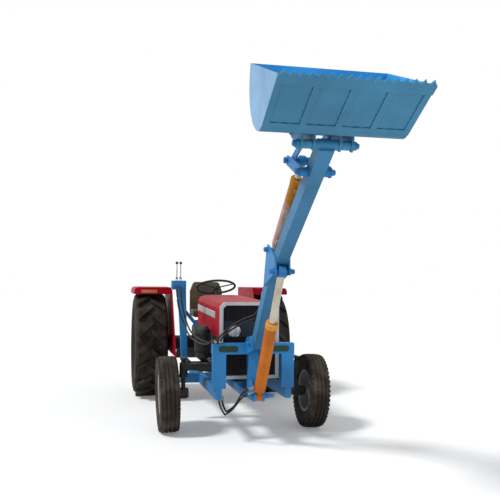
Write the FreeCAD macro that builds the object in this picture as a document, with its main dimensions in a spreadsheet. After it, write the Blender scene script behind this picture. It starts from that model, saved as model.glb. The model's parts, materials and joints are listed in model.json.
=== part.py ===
"""Farm tractor with a single-arm front loader, its bucket raised and rolled back.

Frame: millimetres, +Z up, ground at Z = 0, the machine faces -Y and its left-hand side is +X.
The origin lies on the ground under the middle of the machine's outline.
Places along the machine are measured from the front axle, rearwards, and here() puts them in the frame.
"""
import FreeCAD
import Part
import math
import os
import re
import Sketcher
from types import SimpleNamespace
from FreeCAD import Placement, Rotation, Vector

SIZES = dict(
    # Wheels and tracks
    wheelbase=2310, front_track=1550, rear_track=1620, camber=2,
    front_tyre_radius=390, front_tyre_half=102, front_rim_radius=203, front_rim_half=72,
    rear_tyre_radius=710, rear_tyre_half=210, rear_rim_radius=355, rear_rim_half=150,
    lug_height=38, lug_width=46, lug_length=235, lug_slant=42, lug_count=18,
    rim_wall=6, rim_flange=20, tyre_wall=24, boom_wall=8,
    # Front axle and steering
    axle_pin_height=642, axle_pin_radius=20, axle_boss_radius=58, axle_half_depth=55, beam_tall=100,
    kingpin_place=610, kingpin_radius=22, kingpin_tube_radius=42, kingpin_tube_tall=150,
    kingpin_top=742, arm_length=165, arm_thick=18, ball_radius=8, tie_rod_height=640, tie_rod_radius=13,
    spindle_radius=20, hub_radius=45, hub_flange_radius=78,
    # Tractor body
    bolster_half=130, bolster_low=730, bolster_top=800, bolster_front=-394.5, engine_front=260,
    engine_half=170, engine_low=560, engine_top=1060, engine_length=640,
    gearbox_half=150, gearbox_low=540, gearbox_top=960, gearbox_length=1050,
    axle_case_half=190, axle_case_low=480, axle_case_top=1000, axle_case_length=610,
    trumpet_radius=95, trumpet_end=560, rear_shaft_radius=35, rear_flange_radius=130, rear_flange_thick=24,
    # Bonnet, grille and lamps
    grille_front=-430, grille_depth=35, grille_half=302, grille_low=590, grille_top=1354, grille_border=32,
    grille_corner=44, slat_tall=7, slat_pitch=17, slat_depth=14, lamp_panel_low=1005, lamp_panel_top=1168,
    lamp_place=155, lamp_height=1063, lamp_radius=56, hood_length=1545, hood_rise=1.3, hood_skirt=1000,
    sheet=4, trim_low=1172, trim_tall=70, trim_length=1270,
    # Driver's place
    fender_inner=540, fender_outer=1030, fender_top=1465, fender_front=1930, fender_rear=2900,
    fender_lip=90, fender_sheet=5, fender_corner=48, footplate_height=610, footplate_front=1330,
    footplate_length=560, footplate_thick=10, dash_front=1118, dash_depth=150, dash_half=190, dash_low=960,
    dash_ledge=50, dash_tall=408, dash_slope=68,
    wheel_place=1650, wheel_height=1480, wheel_radius=245, wheel_rim=14, wheel_tilt=20,
    column_radius=28, steering_shaft=9, shaft_reach=200, seat_front=2080, seat_deep=400, seat_half=230, seat_base_tall=60, seat_thick=90,
    back_top=1540, back_thick=80, drawbar_half=35, drawbar_height=400, drawbar_thick=30, hitch_reach=3060,
    # Loader frame
    frame_front=-640, frame_half=405, crossbar_low=858, crossbar_tall=104, crossbar_deep=100, post_wide=125,
    centre_post_wide=104, centre_post_deep=90, rail_middle=345, rail_wide=58, rail_low=427, rail_tall=102,
    rail_overlap=100, belly_half=80, outrigger_front=490, outrigger_deep=80, outrigger_end=585,
    ear_thick=18, ear_radius=74, base_ear_radius=52,
    # Boom and its pivots, each pivot as a place along the machine and a height
    pivot_y=-800, pivot_z=975, knee_y=-1357, knee_z=1593, head_y=-2800, head_z=2502,
    boom_wide=105, boom_deep=115, boom_pin=22.5, foot_radius=56, head_radius=36, head_pin=22.5,
    pin_play=0.05, side_play=0.5, gusset_thick=14, gusset_radius=46,
    # Lift cylinder
    lift_base_y=-840, lift_base_z=488, lift_eye_y=-1660, lift_eye_z=1652, lift_barrel_radius=54,
    lift_bore=45, lift_rod_radius=32.5, lift_gland=878, lift_eye_half=32, lift_eye_radius=48, lift_pin=20,
    # Tilt cylinder, rocker and link
    tilt_base_y=-1430, tilt_base_z=1844, tilt_eye_y=-2235, tilt_eye_z=2485, tilt_barrel_radius=43,
    tilt_bore=35, tilt_rod_radius=22.5, tilt_gland=845, tilt_eye_half=22, tilt_eye_radius=42, tilt_pin=17.5,
    tilt_piston=495, rocker_y=-2560, rocker_z=2352, rocker_place=105, arm_plate=12, rocker_end_radius=36,
    link_y=-2620, link_z=2620, link_place=69, link_boss_radius=30, rocker_pin_half=143,
    gland_length=50, piston_length=40,
    # Bucket
    bucket_wide=1000, lip_y=-3420, lip_z=2777, floor_length=472, floor_tilt=28.5, heel_radius=114, heel_turn=42.5,
    back_radius=368, back_turn=95.6, top_length=42, plate=8, edge_thick=16, edge_deep=75,
    tooth_count=17, tooth_length=42, strap_wide=45, strap_thick=6, strap_place=238, lug_inner=93, lug_outer=180, lug_thick=16, lug_boss=14, lug_radius=48,
    # Valve and its stand
    bracket_inner=40, stand_low_x=-530, stand_top_x=-578, stand_low_wide=60, stand_top_wide=92, stand_deep=60, stand_top=1462,
    valve_half=78, valve_deep=120, valve_tall=100, valve_x=-612, lever_gap=42, lever_height=170,
    lever_radius=5, knob_radius=14, brace_high=1290, brace_low=800, brace_wide=40,
    cleaner_x=-396, cleaner_y=110, cleaner_radius=88, cleaner_low=750, cleaner_top=1040,
    hose_radius=9, hose_spacing=45, port_height=35, port_length=14, clamp_place=-362, clamp_wide=92, clamp_deep=46,
    clamp_tall=36,
)
V = SimpleNamespace(**SIZES)

doc = FreeCAD.newDocument("loader_tractor")
sheet = doc.addObject("Spreadsheet::Sheet", "Sizes")
for row, (name, value) in enumerate(SIZES.items(), start=1):
    sheet.set(f"A{row}", name)
    sheet.set(f"B{row}", str(value))
    sheet.setAlias(f"B{row}", name)
doc.recompute()

ALONG_X = Vector(1, 0, 0)
ALONG_Y = Vector(0, 1, 0)
UP = Vector(0, 0, 1)
SIDES = (("left", 1), ("right", -1))
nodes = []


# Helpers
def bind(obj, **sizes):
    """Tie properties of an object to cells: every size name in the text becomes a cell of the sheet."""
    for prop, text in sizes.items():
        cell = re.sub(r"[a-z][a-z_]*[a-z]", lambda m: "Sizes." + m[0] if m[0] in SIZES else m[0], text)
        obj.setExpression(prop, cell)


def here(x, y, z, rotation=None):
    """A placement in the part's frame from a place measured from the front axle."""
    return Placement(Vector(x, y + AXLE_Y, z), rotation or Rotation())


def node(obj, name):
    obj.Label = name
    nodes.append(obj)
    return obj


def box(wide, deep, tall, x, y, z, rotation=None):
    """A block with bound sizes, its lowest corner at x, y, z."""
    obj = doc.addObject("Part::Box", "Block")
    bind(obj, Length=wide, Width=deep, Height=tall)
    obj.Placement = here(x, y, z, rotation)
    return obj


def rod(radius, height, x, y, z, direction=UP):
    obj = doc.addObject("Part::Cylinder", "Round")
    bind(obj, Radius=radius, Height=height)
    obj.Placement = here(x, y, z, Rotation(UP, direction))
    return obj


def cross_rod(radius, half, y, z):
    """A round bar along X, centred on the machine's middle plane."""
    obj = doc.addObject("Part::Cylinder", "Crosswise")
    obj.Placement = here(0, y, z, Rotation(UP, ALONG_X))
    bind(obj, Radius=radius, Height=f"2 * ({half})")
    obj.setExpression("Placement.Base.x", f"-{obj.Name}.Height / 2")
    return obj


def fuse(*parts):
    obj = doc.addObject("Part::MultiFuse", "Joined")
    obj.Shapes = list(parts)
    obj.Refine = True
    return obj


def cut(base, *tools):
    obj = doc.addObject("Part::Cut", "Bored")
    obj.Base = base
    obj.Tool = tools[0] if len(tools) == 1 else fuse(*tools)
    return obj


def group(*parts):
    obj = doc.addObject("Part::Compound", "Group")
    obj.Links = list(parts)
    return obj


def draw(body, plane, corners):
    """A fully fixed sketch: each corner is (a, b), or (a, b, bulge a, bulge b) for an arc to the next one."""
    sketch = body.newObject("Sketcher::SketchObject", "Outline")
    support = [f for f in body.Origin.OriginFeatures if f.Role == plane][0]
    sketch.AttachmentSupport = [(support, "")]
    sketch.MapMode = "FlatFace"
    count = len(corners)
    for i, corner in enumerate(corners):
        start = Vector(corner[0], corner[1], 0)
        end = Vector(corners[(i + 1) % count][0], corners[(i + 1) % count][1], 0)
        if len(corner) == 4:
            sketch.addGeometry(Part.Arc(start, Vector(corner[2], corner[3], 0), end))
        else:
            sketch.addGeometry(Part.LineSegment(start, end))
    fix(sketch, corners)
    return sketch


def fix(sketch, corners):
    """Join the edges end to end and give every corner, and the middle of every arc, its place."""
    ends, rules = [], []
    for i, corner in enumerate(corners):
        first = 1 if sketch.getPoint(i, 1).distanceToPoint(Vector(corner[0], corner[1], 0)) < 0.001 else 2
        ends.append((first, 3 - first))
    for i, corner in enumerate(corners):
        after = (i + 1) % len(corners)
        rules.append(Sketcher.Constraint("Coincident", i, ends[i][1], after, ends[after][0]))
        for kind, value, line in (("DistanceX", corner[0], -2), ("DistanceY", corner[1], -1)):
            if abs(value) < 0.001:
                rules.append(Sketcher.Constraint("PointOnObject", i, ends[i][0], line))
            else:
                rules.append(Sketcher.Constraint(kind, -1, 1, i, ends[i][0], value))
        if len(corner) == 4:
            middle = sketch.getPoint(i, 3)
            far = corners[after]
            flat = abs(far[0] - corner[0]) > abs(far[1] - corner[1])
            kind, value, line = ("DistanceY", middle.y, -1) if flat else ("DistanceX", middle.x, -2)
            if abs(value) < 0.001:
                rules.append(Sketcher.Constraint("PointOnObject", i, 3, line))
            else:
                rules.append(Sketcher.Constraint(kind, -1, 1, i, 3, value))
    sketch.addConstraint(rules)


def pad(plane, corners, thick, x=0, y=0, z=0, rotation=None):
    """A plate of bound thickness, centred on its sketch plane."""
    body = doc.addObject("PartDesign::Body", "Plate")
    sketch = draw(body, plane, corners)
    plate = body.newObject("PartDesign::Pad", "Pad")
    plate.Profile = sketch
    plate.Midplane = True
    bind(plate, Length=thick)
    body.Placement = here(x, y, z, rotation)
    return body


def turned(corners, x, y, z, axis):
    """A turned piece: corners are (radius, along the axis)."""
    body = doc.addObject("PartDesign::Body", "Turned")
    sketch = draw(body, "XY_Plane", corners)
    spin = body.newObject("PartDesign::Revolution", "Turn")
    spin.Profile = sketch
    spin.ReferenceAxis = (sketch, ["V_Axis"])
    spin.Angle = 360
    body.Placement = here(x, y, z, Rotation(ALONG_Y, axis))
    return body


def tapered(y1, z1, r1, y2, z2, r2):
    """The outline of a plate with two round ends, seen from the side."""
    span = math.hypot(y2 - y1, z2 - z1)
    heading = math.atan2(z2 - z1, y2 - y1)
    lean = math.acos((r1 - r2) / span)
    a, b = heading + lean, heading - lean
    back, front = heading + math.pi, heading
    return [(y1 + r1 * math.cos(b), z1 + r1 * math.sin(b)),
            (y2 + r2 * math.cos(b), z2 + r2 * math.sin(b), y2 + r2 * math.cos(front), z2 + r2 * math.sin(front)),
            (y2 + r2 * math.cos(a), z2 + r2 * math.sin(a)),
            (y1 + r1 * math.cos(a), z1 + r1 * math.sin(a), y1 + r1 * math.cos(back), z1 + r1 * math.sin(back))]


# The bucket's outline, drawn from its lip: floor, heel, back and top
def bucket_path(inset):
    """Corners of the bucket's skin from the lip to the top edge, set inwards by the inset."""
    heading = math.radians(-V.floor_tilt)
    y = V.lip_y - inset * math.sin(heading)
    z = V.lip_z + inset * math.cos(heading)
    path = [(y, z)]
    y, z = y + V.floor_length * math.cos(heading), z + V.floor_length * math.sin(heading)
    for radius, turn in ((V.heel_radius - inset, V.heel_turn), (V.back_radius - inset, V.back_turn)):
        sweep = math.radians(turn)
        centre_y, centre_z = y - radius * math.sin(heading), z + radius * math.cos(heading)
        middle, end = heading + sweep / 2, heading + sweep
        path.append((y, z, centre_y + radius * math.sin(middle), centre_z - radius * math.cos(middle)))
        y, z = centre_y + radius * math.sin(end), centre_z - radius * math.cos(end)
        heading = end
    path.append((y, z))
    path.append((y + V.top_length * math.cos(heading), z + V.top_length * math.sin(heading)))
    return path


def backwards(path):
    """The same corners from end to start, each arc kept with the corner that it now starts from."""
    back = []
    for i in range(len(path) - 1, -1, -1):
        before = path[i - 1] if i > 0 else ()
        back.append(path[i][:2] + (before[2:] if len(before) == 4 else ()))
    return back


tilt = math.radians(V.floor_tilt)
tooth_y = V.lip_y - V.tooth_length * math.cos(tilt) - V.edge_thick * math.sin(tilt)
AXLE_Y = -(tooth_y + V.hitch_reach) / 2


# Wheels: for each side the place and the direction of the axle, outwards
def wheel_height(profile, lean):
    """How high a leaning wheel's centre stands when its tread touches the ground."""
    return max(r * math.cos(lean) + abs(t) * math.sin(lean) for r, t in profile)


front_half = V.front_tyre_half
front_tread = [
    (V.front_rim_radius, -V.front_rim_half + 8), (V.front_rim_radius + 40, -V.front_rim_half - 7),
    (V.front_tyre_radius * 0.78, -front_half), (V.front_tyre_radius * 0.9, -front_half + 6),
    (V.front_tyre_radius - 5, -front_half + 24), (V.front_tyre_radius - 1, -50), (V.front_tyre_radius - 12, -45),
    (V.front_tyre_radius - 12, -36), (V.front_tyre_radius, -31), (V.front_tyre_radius, -12),
    (V.front_tyre_radius - 12, -8), (V.front_tyre_radius - 12, 8)]
front_tread += [(r, -t) for r, t in reversed(front_tread[:-2])]
front_cavity = [(V.front_rim_radius, V.front_rim_half - 30), (V.front_rim_radius + 50, V.front_rim_half - 6),
                (V.front_tyre_radius * 0.8, front_half - 20), (V.front_tyre_radius - 32, front_half - 34)]
front_tread += front_cavity + [(r, -t) for r, t in reversed(front_cavity)]
camber = math.radians(V.camber)
front_height = wheel_height(front_tread, camber)
front_place = V.front_track / 2
rear_place = V.rear_track / 2


def front_axis(side):
    return Vector(side * math.cos(camber), 0, -math.sin(camber))


def on_front_axis(side, offset):
    """A place on the front wheel's axis, offset outwards from the wheel's middle plane."""
    return side * (front_place + offset * math.cos(camber)), 0, front_height - offset * math.sin(camber)


def front_wheel(side, name):
    outer = front_axis(side)
    place = on_front_axis(side, 0)
    node(turned(front_tread, *place, outer), f"front_tyre_{name}")
    rim, half, wall, flange = V.front_rim_radius, V.front_rim_half, V.rim_wall, V.rim_flange
    profile = [(rim, -half + 6), (rim + flange, -half), (rim + flange, -half - wall), (rim - wall, -half),
               (rim - wall, 24), (V.hub_flange_radius + 30, 2), (V.hub_radius - 1, 2), (V.hub_radius - 1, 10),
               (V.hub_flange_radius + 28, 10), (rim - wall - 8, 34), (rim - wall, 36), (rim - wall, half),
               (rim + flange, half + wall), (rim + flange, half), (rim, half - 6)]
    rim = turned(profile, *place, outer)
    bore, cap = V.spindle_radius + V.pin_play, V.hub_radius - 14
    hub = [(bore, -62), (V.hub_radius, -62), (V.hub_radius, -12), (V.hub_flange_radius, -10),
           (V.hub_flange_radius, 2), (V.hub_radius, 2), (V.hub_radius, 34), (cap, 40), (cap, 58), (cap - 8, 64),
           (0, 64), (0, 24), (bore, 24)]
    node(fuse(rim, turned(hub, *place, outer)), f"front_rim_{name}")


def knuckle(side, name):
    """Kingpin and spindle, forged as one, with the steering arm keyed on top."""
    x = side * V.kingpin_place
    low = front_height + 50
    high = V.kingpin_top - low
    pin = rod("kingpin_radius", f"{high}", x, 0, low)
    inner = V.kingpin_place - front_place
    start = on_front_axis(side, inner / math.cos(camber) - 52)
    shoulder = rod("hub_radius + 6", f"{-inner + 52 - 74}", *start, front_axis(side))
    spindle = rod("spindle_radius", f"{-inner + 52 + 20}", *start, front_axis(side))
    root = rod("kingpin_tube_radius", "104", x, 0, front_height - 46)
    arm = pad("XY_Plane", tapered(0, 0, 36, V.arm_length, 0, 20), "arm_thick", x, 0,
              V.kingpin_top + V.arm_thick / 2, Rotation(UP, 90))
    drop = V.kingpin_top + V.arm_thick / 2 - V.tie_rod_height + V.tie_rod_radius + 8
    ball = rod("ball_radius", f"{drop}", x, V.arm_length, V.tie_rod_height - V.tie_rod_radius - 8)
    foot = rod("ball_radius + 5", "5", x, V.arm_length, V.tie_rod_height - V.tie_rod_radius - 10)
    node(fuse(pin, shoulder, spindle, root, arm, ball, foot), f"knuckle_{name}")


def front_axle():
    """Cast beam on its centre pin, with the tie rod between the steering arms."""
    tube_low = V.tie_rod_height - V.kingpin_tube_tall / 2 - 6
    half, tall = V.kingpin_place, V.beam_tall
    middle = V.axle_pin_height
    outline = [(-half, middle + 4), (-half, middle + 62), (-V.axle_boss_radius, middle + tall / 2),
               (V.axle_boss_radius, middle + tall / 2), (half, middle + 62), (half, middle + 4),
               (V.axle_boss_radius * 3, middle - tall / 2), (-V.axle_boss_radius * 3, middle - tall / 2)]
    beam = pad("XZ_Plane", outline, "2 * axle_half_depth")
    boss = rod("axle_boss_radius", "2 * axle_half_depth", 0, -V.axle_half_depth, middle, ALONG_Y)
    tubes = [rod("kingpin_tube_radius", "kingpin_tube_tall", side * half, 0, tube_low) for _, side in SIDES]
    bores = [rod("kingpin_radius + pin_play", "kingpin_tube_tall + 40", side * half, 0, tube_low - 20)
             for _, side in SIDES]
    pin_bore = rod("axle_pin_radius + pin_play", "2 * axle_half_depth + 40", 0, -V.axle_half_depth - 20,
                   middle, ALONG_Y)
    node(cut(fuse(beam, boss, *tubes), pin_bore, *bores), "front_axle_beam")
    bar = rod("tie_rod_radius", f"{2 * half}", -half, V.arm_length, V.tie_rod_height, ALONG_X)
    eyes = [rod("ball_radius + 12", "2 * tie_rod_radius + 6", side * half, V.arm_length,
                V.tie_rod_height - V.tie_rod_radius - 3) for _, side in SIDES]
    holes = [rod("ball_radius + pin_play", "100", side * half, V.arm_length, V.tie_rod_height - 50)
             for _, side in SIDES]
    node(cut(fuse(bar, *eyes), *holes), "tie_rod")
    pin = rod("axle_pin_radius", "2 * axle_half_depth + 110", 0, -V.axle_half_depth - 55, middle, ALONG_Y)
    head = rod("axle_pin_radius + 9", "12", 0, -V.axle_half_depth - 67, middle, ALONG_Y)
    node(fuse(pin, head), "axle_pivot_pin")


def lug(hand):
    """One slanting lug at the tyre's lowest point, its top rounded to the tyre's radius."""
    slant = math.radians(V.lug_slant)
    across = V.lug_length * math.cos(slant)
    along = V.lug_length * math.sin(slant)
    half = V.lug_width / math.cos(slant) / 2
    near, far = -6 * hand, (across - 6) * hand
    corners = [(near, -along / 2 - half), (far, along / 2 - half * 1.3), (far, along / 2 + half * 1.3),
               (near, -along / 2 + half)]
    depth = V.rear_tyre_radius + 20
    points = [Vector(a, b, -depth) for a, b in corners]
    block = Part.Face(Part.makePolygon(points + points[:1])).extrude(Vector(0, 0, V.lug_height + 44))
    reach = V.rear_tyre_half + 40
    drum = Part.makeCylinder(V.rear_tyre_radius, 2 * reach, Vector(-reach, 0, 0), ALONG_X)
    return block.common(drum)


def rear_wheel(side, name):
    """Drive wheel: a turned carcass with two rows of slanting lugs, a dished rim and its hub."""
    radius, half = V.rear_tyre_radius, V.rear_tyre_half
    x, y = side * rear_place, V.wheelbase
    rim, rim_half = V.rear_rim_radius, V.rear_rim_half
    crown = radius - V.lug_height
    wall = [(rim, rim_half - 8), (rim + 45, rim_half + 8), (rim + 130, half - 2), (crown - 90, half),
            (crown - 32, half - 14), (crown - 14, half - 44)]
    thick = V.tyre_wall
    cavity = [(rim, rim_half - 8 - thick), (rim + 50, rim_half + 4 - thick), (rim + 135, half - thick),
              (crown - 95, half - thick), (crown - 30, half - 50)]
    carcass = turned([(r, -t) for r, t in wall] + [(crown, 0)] + wall[::-1] + cavity
                     + [(r, -t) for r, t in reversed(cavity)], x, y, radius, ALONG_X)
    rows = []
    for hand in (1, -1):
        first = lug(hand)
        for count in range(V.lug_count):
            angle = 360 / V.lug_count * (count + (0.5 if hand < 0 else 0))
            rows.append(first.rotated(Vector(), ALONG_X, angle))
    lugs = doc.addObject("Part::Feature", "Lugs")
    lugs.Shape = Part.makeCompound(rows)
    lugs.Placement = here(x, y, radius)
    node(fuse(carcass, lugs), f"rear_tyre_{name}")
    rim, wall, flange = V.rear_rim_radius, V.rim_wall, V.rim_flange
    dish = V.rear_flange_radius + 25
    inner = -(rear_place - V.trumpet_end - V.rear_flange_thick - 3)
    profile = [(rim, -rim_half + 6), (rim + flange, -rim_half), (rim + flange, -rim_half - wall),
               (rim - wall, -rim_half), (rim - wall, -90), (dish, inner), (70, inner), (70, inner + 10),
               (dish - 3, inner + 10), (rim - wall - 14, -74), (rim - wall, -72), (rim - wall, rim_half),
               (rim + flange, rim_half + wall), (rim + flange, rim_half), (rim, rim_half - 6)]
    outer = Vector(side, 0, 0)
    rim = turned(profile, x, y, radius, outer)
    face = side * (V.trumpet_end + 3)
    flange_plate = rod("rear_flange_radius", "rear_flange_thick", face, y, radius, outer)
    cap = rod("75", "62", face, y, radius, outer)
    shaft = rod("rear_shaft_radius", "160", face - side * 120, y, radius, outer)
    node(fuse(rim, flange_plate, cap, shaft), f"rear_rim_{name}")


# Tractor body
def driveline():
    """Castings from the front support to the rear axle, bolted face to face."""
    low, top, front = V.bolster_low, V.bolster_top, V.bolster_front
    ear, gap = V.axle_half_depth + 42, V.axle_half_depth + 3
    ear_low = V.axle_pin_height - V.axle_boss_radius + 6
    outline = [(front, low - 90), (front, low - 30), (-200, low - 30), (-160, top), (V.engine_front, top),
               (V.engine_front, low - 60), (ear + 40, low), (ear, ear_low), (gap, ear_low), (gap, low), (-gap, low),
               (-gap, ear_low), (-ear, ear_low), (-ear, low - 30), (-ear - 45, low - 30), (-ear - 70, low - 90)]
    casting = pad("YZ_Plane", outline, "2 * bolster_half")
    pin_bore = rod("axle_pin_radius", "2 * axle_half_depth + 200", 0, -V.axle_half_depth - 100,
                   V.axle_pin_height, ALONG_Y)
    node(cut(casting, pin_bore), "front_bolster")
    y = V.engine_front
    half, low, top = V.engine_half, V.engine_low, V.engine_top
    block = pad("XZ_Plane", [(-half * 0.6, low), (-half, low + 90), (-half, top - 170), (-half * 0.8, top - 160),
                             (-half * 0.8, top), (half * 0.8, top), (half * 0.8, top - 160), (half, top - 170),
                             (half, low + 90), (half * 0.6, low)],
                "engine_length", 0, y + V.engine_length / 2)
    node(block, "engine_block")
    y += V.engine_length
    half, low, top = V.gearbox_half, V.gearbox_low, V.gearbox_top
    case = pad("XZ_Plane", [(-half + 40, low), (-half, low + 60), (-half, top - 80), (-half + 60, top),
                            (half - 60, top), (half, top - 80), (half, low + 60), (half - 40, low)],
               "gearbox_length", 0, y + V.gearbox_length / 2)
    node(case, "gearbox_housing")
    y += V.gearbox_length
    half, low, top = V.axle_case_half, V.axle_case_low, V.axle_case_top
    case = pad("XZ_Plane", [(-half + 70, low), (-half, low + 90), (-half, top - 90), (-half + 50, top),
                            (half - 50, top), (half, top - 90), (half, low + 90), (half - 70, low)],
               "axle_case_length", 0, y + V.axle_case_length / 2)
    trumpets = cross_rod("trumpet_radius", "trumpet_end", V.wheelbase, V.rear_tyre_radius)
    bore = cross_rod("rear_shaft_radius + pin_play", "trumpet_end + 40", V.wheelbase, V.rear_tyre_radius)
    core = cross_rod("rear_shaft_radius + 10", "trumpet_end - 130", V.wheelbase, V.rear_tyre_radius)
    node(fuse(cut(fuse(case, trumpets), bore), core), "rear_axle_housing")
    bar = box("2 * drawbar_half", f"{V.hitch_reach - V.wheelbase + 200}", "drawbar_thick", -V.drawbar_half,
              V.wheelbase - 200, V.drawbar_height)
    eye = rod("12", "60", 0, V.hitch_reach - 30, V.drawbar_height - 15)
    hanger_tall = V.axle_case_low - V.drawbar_height - V.drawbar_thick
    hanger = box("160", "120", f"{hanger_tall}", -80, V.wheelbase, V.drawbar_height + V.drawbar_thick)
    node(cut(fuse(bar, hanger), eye), "drawbar")


def bonnet():
    """Pressed-steel hood rising a little towards the driver, with the grille frame at its nose."""
    half, corner, front, deep = V.grille_half, V.grille_corner, V.grille_front, V.grille_depth
    low, top, edge = V.grille_low, V.grille_top, V.grille_border

    def ring(inset):
        a, c = half - inset, corner - inset * 0.4
        return [(-a, low + inset), (-a, top - inset - c), (-a + c, top - inset), (a - c, top - inset),
                (a, top - inset - c), (a, low + inset)]
    middle = front + deep / 2
    node(cut(pad("XZ_Plane", ring(0), "grille_depth", 0, middle),
             pad("XZ_Plane", ring(edge), "grille_depth + 20", 0, middle)), "grille_frame")
    slope = Rotation(ALONG_X, V.hood_rise)
    start = front + deep
    skin = [(half, V.hood_skirt), (half, top - corner * 1.6), (half - corner * 0.5, top - corner * 0.5),
            (half - corner * 1.6, top - 8), (half * 0.45, top)]
    sheet = V.sheet
    inner = [(half - sheet, V.hood_skirt - 50), (half - sheet, top - corner * 1.6 - 1),
             (half - corner * 0.5 - 3, top - corner * 0.5 - 3), (half - corner * 1.6 - 1, top - 8 - sheet),
             (half * 0.45, top - sheet)]

    def both(points):
        return [(-a, b) for a, b in points] + [(a, b) for a, b in reversed(points)]
    long = V.hood_length
    lift = V.grille_top * (1 - math.cos(math.radians(V.hood_rise)))
    shift = V.grille_top * math.sin(math.radians(V.hood_rise))
    place = start + shift + long / 2 * math.cos(math.radians(V.hood_rise))
    height = lift + long / 2 * math.sin(math.radians(V.hood_rise))
    hood = cut(pad("XZ_Plane", both(skin), "hood_length", 0, place, height, slope),
               pad("XZ_Plane", both(inner), "hood_length + 200", 0, place, height, slope))
    node(hood, "hood")
    trims = []
    for name, side in SIDES:
        wide = 3
        trims.append(pad("XZ_Plane", [(side * half, V.trim_low), (side * half, V.trim_low + V.trim_tall),
                                (side * (half + wide), V.trim_low + V.trim_tall - 3),
                                (side * (half + wide), V.trim_low + 3)],
                   "trim_length", 0, place + (long - V.trim_length) / 2 - 8, height, slope))
    node(group(*trims), "side_trims")
    inside = 2 * (half - edge)
    panel = box("2 * (grille_half - grille_border)", "12", "lamp_panel_top - lamp_panel_low", -half + edge,
                middle - 2, V.lamp_panel_low)
    holes = [rod("lamp_radius", "60", side * V.lamp_place, middle - 30, V.lamp_height, ALONG_Y)
             for _, side in SIDES]
    node(cut(panel, *holes), "lamp_panel")
    lamps = []
    for name, side in SIDES:
        r = V.lamp_radius
        lamps.append(turned([(0, 60), (0, -6), (r * 0.6, -3), (r - 4, 4), (r, 8), (r, 24), (r * 0.6, 60)],
                            side * V.lamp_place, middle - 6, V.lamp_height, ALONG_Y))
    node(group(*lamps), "headlamps")
    grilles = []
    for name, bottom, ceiling in (("lower_grille", low + edge, V.lamp_panel_low),
                                  ("upper_grille", V.lamp_panel_top, top - edge)):
        count = int((ceiling - bottom) / V.slat_pitch)
        pitch = (ceiling - bottom) / count
        narrow = V.grille_corner - V.grille_border * 0.4 if name == "upper_grille" else 0
        slats = []
        for i in range(count):
            z = bottom + pitch * (i + 0.5) - V.slat_tall / 2
            trimmed = max(0, z + V.slat_tall - (top - edge - narrow)) if narrow else 0
            slats.append(box(f"{inside - 2 * trimmed}", "slat_depth", "slat_tall", -inside / 2 + trimmed,
                             middle - 2, z))
        for x in (-0.72, 0, 0.72):
            slats.append(box("10", "slat_depth", f"{ceiling - bottom}", x * half - 5, middle + 4, bottom))
        grilles.append(fuse(*slats))
    node(group(*grilles), "grille_slats")
    node(box("460", "70", f"{top - 90 - V.bolster_low + 30}", -230, start + 90, V.bolster_low - 30), "radiator")


def fender_section(side, inset):
    """A fender's lid seen from the front, its outer shoulder rounded, set inwards by the inset."""
    inner, outer, top = V.fender_inner + inset, V.fender_outer - inset, V.fender_top - inset
    low, r = V.fender_top - V.fender_lip - inset, V.fender_corner - inset
    bow = r * (1 - math.sqrt(0.5))
    return [(side * inner, low), (side * inner, top), (side * (outer - r), top, side * (outer - bow), top - bow),
            (side * outer, top - r), (side * outer, low)]


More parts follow.
